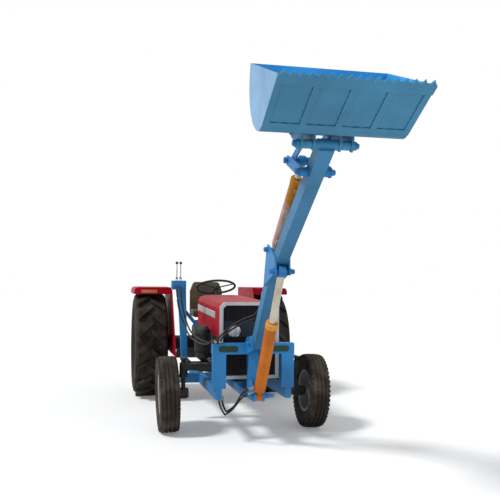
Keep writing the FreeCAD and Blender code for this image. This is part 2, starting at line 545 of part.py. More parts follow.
def drivers_place():
    """Fenders, footplates, dash, steering and seat."""
    inner, outer, top = V.fender_inner, V.fender_outer, V.fender_top
    front, rear, lip, sheet = V.fender_front, V.fender_rear, V.fender_lip, V.fender_sheet
    lamps, plates = [], []
    for name, side in SIDES:
        lid = pad("XZ_Plane", fender_section(side, 0), "fender_rear - fender_front", 0, (front + rear) / 2)
        hollow = pad("XZ_Plane", fender_section(side, sheet), "fender_rear - fender_front - 2 * fender_sheet", 0,
                     (front + rear) / 2)
        panel = [(front, top), (front - 90, top - lip), (V.footplate_front + 20, V.footplate_height + 60),
                 (V.footplate_front + 20, V.footplate_height), (V.wheelbase + 480, V.footplate_height),
                 (rear, top - lip), (rear, top)]
        wall = pad("YZ_Plane", panel, "fender_sheet", side * (inner + sheet / 2))
        hole = rod("trumpet_radius", "100", side * (inner - 50), V.wheelbase, V.rear_tyre_radius,
                   Vector(side, 0, 0))
        node(cut(fuse(cut(lid, hollow), wall), hole), f"fender_{name}")
        lamps.append(box("205", "26", "42", side * 840 - 102.5, front - 26, top - 72))
        plate = box(f"{inner - V.gearbox_half}", "footplate_length", "footplate_thick",
                    V.gearbox_half if side > 0 else -inner, V.footplate_front, V.footplate_height)
        step = box(f"{inner - V.gearbox_half - 60}", "8", "110",
                   V.gearbox_half + 60 if side > 0 else -inner, V.footplate_front,
                   V.footplate_height + V.footplate_thick)
        plates.append(fuse(plate, step))
    node(group(*lamps), "fender_lamps")
    node(group(*plates), "footplates")
    dash_y, dash_half = V.dash_front, V.dash_half
    low, brow = V.dash_low, V.dash_low + V.dash_tall
    dash = pad("YZ_Plane", [(dash_y, low + V.dash_ledge), (dash_y, brow - 16), (dash_y + 30, brow),
                            (dash_y + V.dash_depth, brow - V.dash_slope), (dash_y + V.dash_depth, low),
                            (dash_y + 40, low), (dash_y + 40, low + V.dash_ledge)], "2 * dash_half")
    node(dash, "dash_panel")
    lean = math.radians(V.wheel_tilt)
    axis = Vector(0, math.sin(lean), math.cos(lean))
    base = (V.wheel_height - V.gearbox_top) / math.cos(lean)

    def on_column(distance):
        return 0, V.wheel_place - distance * math.sin(lean), V.wheel_height - distance * math.cos(lean)
    tube = rod("column_radius", f"{base - 60 + 12}", *on_column(base + 12), axis)
    foot = rod("column_radius + 22", "40", *on_column(base + 12), axis)
    bore = rod("steering_shaft + pin_play", "shaft_reach", *on_column(V.shaft_reach + 5), axis)
    foot_y = on_column(base)[1]
    floor = box("300", "300", "60", -150, foot_y - 150, V.gearbox_top - 60)
    node(cut(fuse(tube, foot), bore, floor), "steering_column")
    ring = doc.addObject("Part::Torus", "Ring")
    bind(ring, Radius1="wheel_radius", Radius2="wheel_rim")
    ring.Placement = here(*on_column(0), Rotation(UP, axis))
    spokes = []
    across = axis.cross(ALONG_X)
    for angle in (90, 210, 330):
        a = math.radians(angle)
        way = ALONG_X * math.cos(a) + across * math.sin(a)
        spokes.append(rod("8", "wheel_radius", *on_column(14), way + axis * (14 / V.wheel_radius)))
    hub = rod("34", "34", *on_column(32), axis)
    shaft = rod("steering_shaft", "shaft_reach - 20", *on_column(V.shaft_reach), axis)
    node(fuse(ring, hub, shaft, *spokes), "steering_wheel")
    y, top = V.seat_front, V.axle_case_top
    node(box("240", "seat_deep - 80", "seat_base_tall", -120, y + 40, top), "seat_base")
    low = top + V.seat_base_tall
    half = V.seat_half
    cushion = pad("YZ_Plane", [(y + 8, low), (y, low + 20), (y + 10, low + V.seat_thick), (y + 60, low + V.seat_thick + 10),
                               (y + V.seat_deep, low + V.seat_thick - 15), (y + V.seat_deep, low)],
                  "2 * seat_half")
    back = [(-half, low + 80), (-half + 8, V.back_top - 130), (-half + 70, V.back_top - 12), (0, V.back_top),
            (half - 70, V.back_top - 12), (half - 8, V.back_top - 130), (half, low + 80), (half - 30, low),
            (-half + 30, low)]
    rest = pad("XZ_Plane", back, "back_thick", 0, y + V.seat_deep + V.back_thick / 2)
    node(group(cushion, rest), "seat")
    low, top, radius = V.cleaner_low, V.cleaner_top, V.cleaner_radius
    cleaner = turned([(0, low), (radius - 14, low), (radius - 14, low + 60), (radius, low + 70),
                      (radius, top - 30), (radius - 12, top + 8), (radius * 0.55, top + 40), (0, top + 50)],
                     V.cleaner_x, V.cleaner_y, 0, UP)
    neck = rod("22", f"{-V.cleaner_x - V.bolster_half}", V.cleaner_x, V.cleaner_y, V.cleaner_low + 25, ALONG_X)
    node(fuse(cleaner, neck), "air_cleaner")


# Loader frame bolted round the tractor
def loader_frame():
    """Front frame, rails, belly beam, crossmember and the brackets that carry boom and cylinder."""
    y, half, low, tall = V.frame_front, V.frame_half, V.crossbar_low, V.crossbar_tall
    deep = V.crossbar_deep
    rail_top = V.rail_low + V.rail_tall
    crossbar = box("2 * frame_half", "crossbar_deep", "crossbar_tall", -half, y, low)
    posts = [box("post_wide", "crossbar_deep", f"{low - rail_top}", side * (half - V.post_wide / 2 - 4) - V.post_wide / 2,
                 y, rail_top) for _, side in SIDES]
    node(fuse(crossbar, *posts), "front_frame")
    post = box("centre_post_wide", "centre_post_deep", f"{low - V.rail_low}", -V.centre_post_wide / 2, y + 5,
               V.rail_low)
    rail_end = V.engine_front + V.engine_length + V.gearbox_length + V.rail_overlap
    rails = [box("rail_wide", f"{rail_end - y}", "rail_tall", side * V.rail_middle - V.rail_wide / 2, y,
                 V.rail_low) for _, side in SIDES]
    node(group(*rails), "side_rails")
    inner = V.rail_middle - V.rail_wide / 2
    outer = V.rail_middle + V.rail_wide / 2
    reach = inner - V.bracket_inner
    brackets = [box(f"{reach}", "140", "14", V.bracket_inner if side > 0 else -inner, rail_end - 150,
                    V.axle_case_low - 14) for _, side in SIDES]
    node(group(*brackets), "rail_brackets")
    beam_end = V.outrigger_front
    tip = y + 5 + V.centre_post_deep
    belly = box("2 * belly_half", f"{beam_end - tip}", "rail_tall - 22", -V.belly_half, tip, V.rail_low)
    cross = box(f"{2 * inner}", "outrigger_deep", "rail_tall", -inner, beam_end, V.rail_low)
    saddle = box("2 * belly_half", "outrigger_deep", f"{V.engine_low - rail_top}", -V.belly_half, beam_end, rail_top)
    node(fuse(post, belly, cross, saddle), "belly_frame")
    node(box(f"{V.outrigger_end - outer}", "outrigger_deep", "rail_tall", -V.outrigger_end, beam_end, V.rail_low),
         "outrigger")
    gap = V.boom_wide / 2 + V.side_play
    front_face = y
    ears, feet = [], []
    for name, side in SIDES:
        x = side * (gap + V.ear_thick / 2)
        r = V.ear_radius
        ear = pad("YZ_Plane", [(front_face, low), (V.pivot_y + 20, V.pivot_z - r),
                               (V.pivot_y, V.pivot_z - r, V.pivot_y - r, V.pivot_z), (V.pivot_y, V.pivot_z + r),
                               (front_face + 20, low + tall + 60), (front_face + deep, low + tall),
                               (front_face, low + tall)], "ear_thick", x)
        bore = cross_rod("boom_pin", "200", V.pivot_y, V.pivot_z)
        ears.append(cut(ear, bore))
        x = side * (V.lift_eye_half + V.side_play + V.ear_thick / 2)
        foot_front = y + 5
        ear = pad("YZ_Plane", [(foot_front, V.rail_low), (foot_front, V.rail_low + 190),
                               (foot_front - 40, V.rail_low + 190),
                               (V.lift_base_y + 10, V.lift_base_z + V.base_ear_radius),
                               (V.lift_base_y, V.lift_base_z + V.base_ear_radius,
                                V.lift_base_y - V.base_ear_radius, V.lift_base_z),
                               (V.lift_base_y, V.lift_base_z - V.base_ear_radius)], "ear_thick", x)
        bore = cross_rod("lift_pin", "200", V.lift_base_y, V.lift_base_z)
        feet.append(cut(ear, bore))
    node(group(*ears), "pivot_ears")
    node(group(*feet), "base_ears")
    node(group(headed_pin("boom_pin", V.boom_wide / 2 + V.side_play + V.ear_thick, V.pivot_y, V.pivot_z),
               headed_pin("lift_pin", V.lift_eye_half + V.side_play + V.ear_thick, V.lift_base_y,
                          V.lift_base_z)), "frame_pins")


def headed_pin(radius, reach, y, z):
    """A pin with a round head on one side and a retaining collar on the other, outside the last plates."""
    pin = cross_rod(radius, f"{reach + 20}", y, z)
    parts = [pin]
    for side in (1, -1):
        start = side * reach
        parts.append(rod(f"{radius} + 8", "12", start, y, z, Vector(side, 0, 0)))
    return fuse(*parts)


def hoses(port_y, port_z):
    """Two hoses from the valve's front ports, down past the bonnet, to a clamp on the crossbar's end."""
    top = V.crossbar_low + V.crossbar_tall
    clamp_y = V.frame_front + (V.crossbar_deep - V.clamp_deep) / 2
    clamp = box("clamp_wide", "clamp_deep", "clamp_tall", V.clamp_place - V.clamp_wide / 2, clamp_y, top)
    middle = top + V.clamp_tall / 2
    runs = []
    for i in range(2):
        x = V.valve_x + V.hose_spacing * (i - 1)
        end = V.clamp_place + V.hose_spacing * (i - 0.5)
        route = [(x, port_y, port_z), (x, port_y - 120, port_z), (x + 20, port_y - 130, port_z - 230),
                 (-575 + 28 * i, port_y - 175, 1085 + 15 * i), (-540 + 22 * i, 110, 975 + 30 * i),
                 (-478 + 20 * i, -160, 925 + 30 * i), (end - 25, -370, 925 + 10 * i), (end, -470, middle),
                 (end, clamp_y + V.clamp_deep, middle)]
        line = Part.BSplineCurve()
        line.buildFromPoles([Vector(a, b + AXLE_Y, c) for a, b, c in route], False, 2)
        spine = doc.addObject("Part::Feature", "Route")
        spine.Shape = Part.Wire(line.toShape())
        ring = doc.addObject("Part::Circle", "Ring")
        bind(ring, Radius="hose_radius")
        ring.Placement = here(*route[0], Rotation(UP, Vector(0, -1, 0)))
        sweep = doc.addObject("Part::Sweep", "Hose")
        sweep.Sections = [ring]
        sweep.Spine = (spine, ["Edge1"])
        sweep.Solid = True
        runs.append(sweep)
    node(group(clamp, *runs), "frame_hoses")


def valve_stand():
    """Post on the outrigger with the control valve and its two levers."""
    x1, x2, w1, w2 = V.stand_low_x, V.stand_top_x, V.stand_low_wide / 2, V.stand_top_wide / 2
    base = V.rail_low + V.rail_tall
    y = V.outrigger_front + V.outrigger_deep / 2
    top = V.stand_top
    post = pad("XZ_Plane", [(x1 - w1, base), (x2 - w2, top), (x2 + w2, top), (x1 + w1, base)], "stand_deep", 0, y)
    share = (V.brace_high - base) / (top - base)
    side_x = x1 + (x2 - x1) * share
    end_x = -V.engine_half
    half = V.brace_wide / 2
    strut = pad("XZ_Plane", [(side_x, V.brace_high), (end_x, V.brace_low + half), (end_x, V.brace_low - half * 2),
                             (side_x, V.brace_high - 3 * half)], "10", 0, y)
    node(fuse(post, strut), "valve_stand")
    x, half, deep, tall = V.valve_x, V.valve_half, V.valve_deep, V.valve_tall
    body = box("2 * valve_half", "valve_deep", "valve_tall", x - half, y - deep / 2, top)
    parts = [body]
    for i in (-1, 1):
        lever_x = x + i * V.lever_gap / 2
        for edge in (-11, 7):
            parts.append(box("4", "24", "40", lever_x + edge, y - 12, top + tall))
        parts.append(rod("4", "22", lever_x - 11, y, top + tall + 28, ALONG_X))
    for i in range(3):
        parts.append(rod("13", "port_length", x + V.hose_spacing * (i - 1), y - deep / 2 - V.port_length,
                         top + V.port_height, ALONG_Y))
    node(fuse(*parts), "control_valve")
    hoses(y - deep / 2 - V.port_length, top + V.port_height)
    pivot = top + tall + 28
    for name, i in (("boom", -1), ("bucket", 1)):
        lever_x = x + i * V.lever_gap / 2
        hub = rod("11", "13", lever_x - 6.5, y, pivot, ALONG_X)
        stem = rod("lever_radius", "lever_height", lever_x, y, pivot, UP)
        knob = doc.addObject("Part::Sphere", "Knob")
        bind(knob, Radius="knob_radius")
        knob.Placement = here(lever_x, y, pivot + V.lever_height)
        bore = rod("4 + pin_play", "40", lever_x - 20, y, pivot, ALONG_X)
        node(cut(fuse(hub, stem, knob), bore), f"{name}_lever")


# Boom, cylinders and bucket linkage
def beam(start_y, start_z, end_y, end_z, extra, length, wall=0):
    """One straight piece of the boom between two places, lengthened by the mitre, or its hollow."""
    dy, dz = direction(start_y, start_z, end_y, end_z)
    angle = math.degrees(math.atan2(dz, dy))
    obj = doc.addObject("Part::Box", "Beam")
    less = " - 2 * boom_wall" if wall else ""
    bind(obj, Length="boom_wide" + less, Height="boom_deep" + less, Width=f"{length}")
    turn = Rotation(ALONG_X, angle)
    corner = turn.multVec(Vector(wall - V.boom_wide / 2, -extra, wall - V.boom_deep / 2))
    obj.Placement = here(corner.x, start_y + corner.y, start_z + corner.z, turn)
    return obj


def direction(y1, z1, y2, z2):
    span = math.hypot(y2 - y1, z2 - z1)
    return (y2 - y1) / span, (z2 - z1) / span


def boom():
    """The bent boom with its foot, knee gussets and head tube, and the pins that it carries."""
    lower = math.hypot(V.knee_y - V.pivot_y, V.knee_z - V.pivot_z)
    upper = math.hypot(V.head_y - V.knee_y, V.head_z - V.knee_z)
    bend = (math.atan2(V.knee_z - V.pivot_z, V.pivot_y - V.knee_y)
            - math.atan2(V.head_z - V.knee_z, V.knee_y - V.head_y))
    mitre = V.boom_deep / 2 * math.tan(bend / 2)
    wall = V.boom_wall
    low = beam(V.pivot_y, V.pivot_z, V.knee_y, V.knee_z, 0, lower + mitre)
    up = beam(V.knee_y, V.knee_z, V.head_y, V.head_z, mitre, upper + mitre)
    inner = (V.boom_deep / 2 - wall) * math.tan(bend / 2)
    low_room = beam(V.pivot_y, V.pivot_z, V.knee_y, V.knee_z, 0, lower + inner, wall)
    up_room = beam(V.knee_y, V.knee_z, V.head_y, V.head_z, inner, upper + inner - wall, wall)
    tube = cut(fuse(low, up), low_room, up_room)
    foot = cross_rod("foot_radius", "boom_wide / 2", V.pivot_y, V.pivot_z)
    head = cross_rod("head_radius", "lug_inner - lug_thick / 2 - 2 * side_play", V.head_y, V.head_z)
    bores = [cross_rod("boom_pin + pin_play", "200", V.pivot_y, V.pivot_z),
             cross_rod("head_pin", "300", V.head_y, V.head_z),
             cross_rod("tilt_pin", "300", V.rocker_y, V.rocker_z)]
    node(cut(fuse(tube, foot, head), *bores), "boom")
    gussets = []
    for name, side in SIDES:
        x = side * (V.boom_wide / 2 + V.gusset_thick / 2)
        r = V.gusset_radius
        eye_y, eye_z, base_y, base_z = V.lift_eye_y, V.lift_eye_z, V.tilt_base_y, V.tilt_base_z
        plate = pad("YZ_Plane", [
            (eye_y + r * 0.8, eye_z - r * 0.6), (eye_y - r * 0.7, eye_z - r * 0.7, eye_y - r, eye_z), 
            (eye_y - r * 0.7, eye_z + r * 0.7), (V.knee_y - 330, V.knee_z + 175), (base_y - r * 0.8, base_z + r * 0.6),
            (base_y + r * 0.2, base_z + r * 0.98), (base_y + r, base_z), (V.knee_y + 45, V.knee_z + 40),
            (V.knee_y + 70, V.knee_z - 60), (V.knee_y - 30, V.knee_z - 40)], "gusset_thick", x)
        eye_bore = cross_rod("lift_pin", "200", eye_y, eye_z)
        base_bore = cross_rod("tilt_pin", "200", base_y, base_z)
        gussets.append(cut(plate, eye_bore, base_bore))
    node(group(*gussets), "knee_gussets")
    reach = V.boom_wide / 2 + V.gusset_thick
    halves = []
    for side in (1, -1):
        start = V.lift_eye_half + V.side_play
        halves.append(fuse(rod("lift_pin", f"{reach + 30 - start}", side * start, V.lift_eye_y, V.lift_eye_z,
                               Vector(side, 0, 0)),
                           rod("lift_pin + 9", "12", side * reach, V.lift_eye_y, V.lift_eye_z,
                               Vector(side, 0, 0))))
    end = V.lug_outer + V.lug_thick / 2 + V.lug_boss + V.side_play
    node(group(*halves, headed_pin("tilt_pin", reach, V.tilt_base_y, V.tilt_base_z),
               headed_pin("tilt_pin", V.rocker_place + V.arm_plate + V.side_play, V.rocker_y, V.rocker_z),
               headed_pin("head_pin", end, V.head_y, V.head_z)), "boom_pins")


def barrel(base, eye, radius, bore, rod_radius, gland, eye_half, pin, name):
    """Cylinder tube with its base eye: bored for the piston, with a narrower gland at the mouth."""
    (by, bz), (ey, ez) = base, eye
    dy, dz = direction(by, bz, ey, ez)
    axis = Vector(0, dy, dz)
    tube = turned([(rod_radius + V.pin_play, gland), (radius + 3, gland), (radius + 3, gland - V.gland_length),
                   (radius, gland - V.gland_length - 3), (radius, pin + 62), (radius - 12, pin + 50), (0, pin + 50),
                   (0, pin + 70), (bore, pin + 70), (bore, gland - V.gland_length),
                   (rod_radius + V.pin_play, gland - V.gland_length)], 0, by, bz, axis)
    eye_radius = pin + 26
    eye_ring = cross_rod(f"{eye_radius}", f"{eye_half}", by, bz)
    neck = rod(f"{eye_half - 3}", f"{pin + 55}", 0, by, bz, axis)
    hole = cross_rod(f"{pin} + pin_play", "200", by, bz)
    node(cut(fuse(tube, eye_ring, neck), hole), name)


def piston_rod(base, eye, rod_radius, bore, piston_start, eye_half, eye_radius, pin, name):
    """Chromed rod with its piston at one end and a bored eye at the other."""
    (by, bz), (ey, ez) = base, eye
    dy, dz = direction(by, bz, ey, ez)
    axis = Vector(0, dy, dz)
    span = math.hypot(ey - by, ez - bz)
    shaft = rod(f"{rod_radius}", f"{span - piston_start}", 0, by + dy * piston_start, bz + dz * piston_start, axis)
    piston = rod(f"{bore} - 2 * pin_play", "piston_length", 0, by + dy * piston_start, bz + dz * piston_start, axis)
    ring = cross_rod(f"{eye_radius}", f"{eye_half}", ey, ez)
    hole = cross_rod(f"{pin} + pin_play", "200", ey, ez)
    node(cut(fuse(shaft, piston, ring), hole), name)


def cylinders():
    base, eye = (V.lift_base_y, V.lift_base_z), (V.lift_eye_y, V.lift_eye_z)
    barrel(base, eye, V.lift_barrel_radius, V.lift_bore, V.lift_rod_radius, V.lift_gland, V.lift_eye_half,
           V.lift_pin, "lift_barrel")
    piston_rod(base, eye, V.lift_rod_radius, V.lift_bore, V.lift_gland - V.gland_length - V.piston_length - 30,
               V.lift_eye_half, V.lift_eye_radius, V.lift_pin, "lift_rod")
    base, eye = (V.tilt_base_y, V.tilt_base_z), (V.tilt_eye_y, V.tilt_eye_z)
    barrel(base, eye, V.tilt_barrel_radius, V.tilt_bore, V.tilt_rod_radius, V.tilt_gland, V.tilt_eye_half,
           V.tilt_pin, "tilt_barrel")
    piston_rod(base, eye, V.tilt_rod_radius, V.tilt_bore, V.tilt_piston, V.tilt_eye_half, V.tilt_eye_radius,
               V.tilt_pin, "tilt_rod")


def linkage():
    """Rocker arms on the boom and the links from them to the bucket."""
    r = V.rocker_end_radius
    arms, links = [], []
    for name, side in SIDES:
        x = side * (V.rocker_place + V.arm_plate / 2)
        arm = pad("YZ_Plane", tapered(V.rocker_y, V.rocker_z, r + 4, V.tilt_eye_y, V.tilt_eye_z, r), "arm_plate", x)
        start = V.boom_wide / 2 + V.side_play
        boss = rod("rocker_end_radius - 2", f"{V.rocker_place - start}", side * start, V.rocker_y, V.rocker_z,
                   Vector(side, 0, 0))
        shaft_bore = cross_rod("tilt_pin + pin_play", "200", V.rocker_y, V.rocker_z)
        link_face = V.link_place + V.arm_plate + V.side_play
        stub = rod("tilt_pin", f"{V.rocker_pin_half - link_face}", side * link_face, V.tilt_eye_y, V.tilt_eye_z,
                   Vector(side, 0, 0))
        collar = rod("tilt_pin + 9", f"{V.rocker_place - link_face}", side * link_face, V.tilt_eye_y, V.tilt_eye_z,
                     Vector(side, 0, 0))
        cap = rod("tilt_pin + 7", "12", side * (V.rocker_pin_half - 14), V.tilt_eye_y, V.tilt_eye_z,
                  Vector(side, 0, 0))
        arms.append(fuse(cut(fuse(arm, boss), shaft_bore), stub, collar, cap))
        x = side * (V.link_place + V.arm_plate / 2)
        plate = pad("YZ_Plane", tapered(V.tilt_eye_y, V.tilt_eye_z, r - 4, V.link_y, V.link_z, r - 4),
                    "arm_plate", x)
        inner = V.tilt_eye_half + V.side_play
        spacer = rod("link_boss_radius", f"{V.link_place - inner}", side * inner, V.tilt_eye_y, V.tilt_eye_z,
                     Vector(side, 0, 0))
        hole = cross_rod("tilt_pin + pin_play", "250", V.link_y, V.link_z)
        links.append(fuse(cut(plate, hole), spacer))
    node(group(*arms), "rocker_arms")
    node(group(*links), "links")


def straps():
    """Flat straps welded under the floor: five from the edge to the heel, and one across along the heel."""
    slope = math.radians(V.floor_tilt)
    turn = Rotation(ALONG_X, -V.floor_tilt)
    start = V.edge_deep + V.side_play
    stop = V.floor_length - V.strap_thick

    def strap(wide, long, x, along):
        return box(wide, long, "strap_thick + plate / 2", x,
                   V.lip_y + along * math.cos(slope) - V.strap_thick * math.sin(slope),
                   V.lip_z - along * math.sin(slope) - V.strap_thick * math.cos(slope), turn)
    half, wide = V.bucket_wide / 2, V.strap_wide
    lows = (-half, -V.strap_place - wide / 2, -wide / 2, V.strap_place - wide / 2, half - wide)
    made = [strap("strap_wide", f"{stop - start}", x, start) for x in lows]
    return made + [strap("bucket_wide", "strap_wide", -half, stop - wide)]


def bucket():
    """Round-backed bucket: bent skin, two side plates, four lugs, and a toothed edge under the lip."""
    outer = bucket_path(0)
    skin = outer + backwards(bucket_path(V.plate))
    shell = pad("YZ_Plane", skin, "bucket_wide")
    lip_path, top_end = outer[0], outer[-1]
    cheeks = [pad("YZ_Plane", outer, "plate", side * (V.bucket_wide / 2 - V.plate / 2)) for _, side in SIDES]
    lugs = []
    bosses = []
    half = V.lug_thick / 2
    for side in (1, -1):
        for place in (V.lug_inner, V.lug_outer):
            lugs.append(pad("YZ_Plane", [
                (V.head_y - 10, V.head_z - V.lug_radius + 1),
                (V.head_y + V.lug_radius * 0.9, V.head_z - V.lug_radius * 0.3),
                (V.link_y + 34, V.link_z - 26), (V.link_y + 36, V.link_z + 20), (V.link_y + 8, V.link_z + 38),
                (V.link_y - 34, V.link_z + 110), (V.link_y - 50, V.link_z + 112), (V.head_y - 45, V.head_z + 57),
                (V.head_y - V.lug_radius, V.head_z)], "lug_thick", side * place))
        start = V.lug_inner - half
        bosses.append(rod("head_radius - 4", f"{V.lug_outer + half + V.lug_boss - start}", side * start, V.head_y,
                          V.head_z, Vector(side, 0, 0)))
    body = fuse(shell, *cheeks, *lugs, *bosses, *straps())
    room = pad("YZ_Plane", bucket_path(V.plate), "bucket_wide - 2 * plate")
    bores = [cross_rod("head_pin + pin_play", "400", V.head_y, V.head_z),
             cross_rod("tilt_pin", "400", V.link_y, V.link_z)]
    node(cut(body, room, *bores), "bucket")
    node(headed_pin("tilt_pin", V.lug_outer + half, V.link_y, V.link_z), "link_pin")
    wide = V.bucket_wide
    pitch = wide / V.tooth_count
    outline = [(-wide / 2, 0), (-wide / 2, V.edge_deep)]
    for i in range(V.tooth_count):
        x = -wide / 2 + pitch * i
        outline += [(x + pitch * 0.12, V.edge_deep), (x + pitch * 0.5, V.edge_deep + V.tooth_length),
                    (x + pitch * 0.88, V.edge_deep)]
    outline += [(wide / 2, V.edge_deep), (wide / 2, 0)]
    slope = math.radians(V.floor_tilt)
    back = V.edge_deep
    thick = V.edge_thick
    turn = Rotation(Vector(1, 0, 0), Vector(0, -math.cos(slope), math.sin(slope)), Vector(0, 0, 0), "XYZ")
    edge = pad("XY_Plane", outline, "edge_thick", 0,
               V.lip_y + back * math.cos(slope) - (thick / 2) * math.sin(slope),
               V.lip_z - back * math.sin(slope) - (thick / 2) * math.cos(slope), turn)
    node(edge, "cutting_edge")


for name, side in SIDES:
    front_wheel(side, name)
    knuckle(side, name)
    rear_wheel(side, name)
front_axle()
driveline()
bonnet()
drivers_place()
loader_frame()
valve_stand()
boom()
cylinders()
linkage()
bucket()

doc.recompute()
for obj in doc.Objects:
    if "Invalid" in obj.State or "Error" in obj.State:
        raise RuntimeError(f"{obj.Name} ({obj.Label}) failed: {obj.State}")
for obj in nodes:
    if obj.Shape.isNull() or not obj.Shape.isValid():
        raise RuntimeError(f"{obj.Label} has no valid shape")
os.makedirs("parts", exist_ok=True)
for obj in nodes:
    obj.Shape.exportStep(f"parts/{obj.Label}.step")
    print(obj.Label, len(obj.Shape.Solids), round(obj.Shape.Volume / 1e6, 3))
print(len(nodes), "nodes")
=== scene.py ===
import bpy
import bmesh
import json
import math
from mathutils import Matrix, Vector


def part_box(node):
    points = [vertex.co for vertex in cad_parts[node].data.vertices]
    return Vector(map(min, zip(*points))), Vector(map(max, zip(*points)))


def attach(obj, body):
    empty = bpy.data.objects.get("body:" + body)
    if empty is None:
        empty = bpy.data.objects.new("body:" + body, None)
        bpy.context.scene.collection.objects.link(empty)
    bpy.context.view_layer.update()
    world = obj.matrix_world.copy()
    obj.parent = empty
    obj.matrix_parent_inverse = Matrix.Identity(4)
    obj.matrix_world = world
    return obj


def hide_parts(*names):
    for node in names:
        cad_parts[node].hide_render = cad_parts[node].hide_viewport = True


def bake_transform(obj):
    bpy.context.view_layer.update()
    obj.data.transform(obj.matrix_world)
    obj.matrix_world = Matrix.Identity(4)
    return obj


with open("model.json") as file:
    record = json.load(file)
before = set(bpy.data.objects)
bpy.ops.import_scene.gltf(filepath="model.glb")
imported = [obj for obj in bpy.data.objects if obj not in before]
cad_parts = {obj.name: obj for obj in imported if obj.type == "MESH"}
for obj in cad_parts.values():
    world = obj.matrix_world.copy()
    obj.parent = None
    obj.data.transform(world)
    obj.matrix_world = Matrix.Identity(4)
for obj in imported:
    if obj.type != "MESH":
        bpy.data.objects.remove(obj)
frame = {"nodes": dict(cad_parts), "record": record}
nodes = frame["nodes"]
joints = {joint["name"]: joint for joint in frame["record"]["behaviour"]["joints"]}
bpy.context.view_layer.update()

# Where things are, in metres, read from the joints of the frame
AXLE = joints["front_axle_swing"]["pos_m"][1]
BOOM_PIVOT = Vector(joints["boom_lift"]["pos_m"])
LIFT_BASE = Vector(joints["lift_barrel_swing"]["pos_m"])
LIFT_WAY = Vector(joints["lift_rod_slide"]["axis"])
TILT_BASE = Vector(joints["tilt_barrel_swing"]["pos_m"])
TILT_WAY = Vector(joints["tilt_rod_slide"]["axis"])
BUCKET_PIVOT = Vector(joints["bucket_tilt"]["pos_m"])


# Materials. Colours are sRGB hex codes; these four are the dirt on paint, rubber, castings and plastic
PAINT_DIRT, RUBBER_SCUFF, IRON_DUST, PLASTIC_DUST = "7d7060", "6d6052", "6b6053", "6b6156"


def linear(code):
    """The linear colour of an sRGB hex code, as the shader wants it."""
    parts = [int(code[i:i + 2], 16) / 255 for i in (0, 2, 4)]
    return tuple(c / 12.92 if c <= 0.04045 else ((c + 0.055) / 1.055) ** 2.4 for c in parts) + (1.0,)


class Finish:
    """A material under construction: one shader, and the noise, masks and blends that feed it."""

    def __init__(self, name, code, rough, metal=0.0, coat=0.0, gloss=0.3):
        self.material = bpy.data.materials.new(name)
        self.material.use_nodes = True
        self.nodes = self.material.node_tree.nodes
        self.links = self.material.node_tree.links
        self.shader = self.nodes["Principled BSDF"]
        self.shader.inputs["Base Color"].default_value = linear(code)
        self.shader.inputs["Roughness"].default_value = rough
        self.shader.inputs["Metallic"].default_value = metal
        self.shader.inputs["Coat Weight"].default_value = coat
        self.shader.inputs["Specular IOR Level"].default_value = gloss
        self.place = self.add("ShaderNodeTexCoord").outputs["Object"]

    def add(self, kind, **settings):
        """A new shader node with its settings."""
        node = self.nodes.new(kind)
        for key, value in settings.items():
            setattr(node, key, value)
        return node

    def feed(self, socket, value):
        """Links a socket to the input, or sets the input to a number or colour."""
        if isinstance(value, bpy.types.NodeSocket):
            self.links.new(value, socket)
        else:
            socket.default_value = value

    def noise(self, scale, detail=3.0, stretch=(1, 1, 1)):
        """Cloudy noise whose grains are about 1/scale metres wide."""
        mapping = self.add("ShaderNodeMapping")
        self.links.new(self.place, mapping.inputs["Vector"])
        mapping.inputs["Scale"].default_value = stretch
        noise = self.add("ShaderNodeTexNoise")
        self.links.new(mapping.outputs["Vector"], noise.inputs["Vector"])
        noise.inputs["Scale"].default_value = scale
        noise.inputs["Detail"].default_value = detail
        return noise.outputs["Fac"]

    def between(self, value, low, high, to_low=0.0, to_high=1.0):
        """The value stretched so that low gives to_low and high gives to_high."""
        node = self.add("ShaderNodeMapRange")
        self.links.new(value, node.inputs["Value"])
        ends = {"From Min": low, "From Max": high, "To Min": to_low, "To Max": to_high}
        for socket, number in ends.items():
            node.inputs[socket].default_value = number
        return node.outputs["Result"]

    def maths(self, operation, a, b):
        node = self.add("ShaderNodeMath", operation=operation, use_clamp=True)
        self.feed(node.inputs[0], a)
        self.feed(node.inputs[1], b)
        return node.outputs["Value"]

    def mix(self, amount, a, b):
        """Colour a where the amount is 0, colour b where it is 1."""
        node = self.add("ShaderNodeMix", data_type="RGBA")
        for socket, value in ((node.inputs[0], amount), (node.inputs[6], a), (node.inputs[7], b)):
            self.feed(socket, value)
        return node.outputs[2]

    def facing_up(self):
        """1 on faces that look straight up, 0 on upright ones."""
        normal = self.add("ShaderNodeNewGeometry").outputs["Normal"]
        split = self.add("ShaderNodeSeparateXYZ")
        self.links.new(normal, split.inputs["Vector"])
        return split.outputs["Z"]

    def along(self, start, way):
        """How far a place lies along a way from the start, in metres."""
        node = self.add("ShaderNodeVectorMath", operation="DOT_PRODUCT")
        self.links.new(self.place, node.inputs[0])
        node.inputs[1].default_value = tuple(way)
        shift = self.add("ShaderNodeMath", operation="SUBTRACT")
        self.links.new(node.outputs["Value"], shift.inputs[0])
        shift.inputs[1].default_value = Vector(start).dot(Vector(way))
        return shift.outputs["Value"]

    def height(self):
        """Height above the ground, in metres."""
        split = self.add("ShaderNodeSeparateXYZ")
        self.links.new(self.place, split.inputs["Vector"])
        return split.outputs["Z"]

    def bump(self, height, depth, strength):
        node = self.add("ShaderNodeBump")
        node.inputs["Strength"].default_value = strength
        node.inputs["Distance"].default_value = depth
        self.links.new(height, node.inputs["Height"])
        self.links.new(node.outputs["Normal"], self.shader.inputs["Normal"])

    def finish(self, colour, rough=None):
        """Gives the shader its colour, and its roughness if that varies; the material is then done."""
        self.links.new(colour, self.shader.inputs["Base Color"])
        if rough is not None:
            self.links.new(rough, self.shader.inputs["Roughness"])
        return self.material


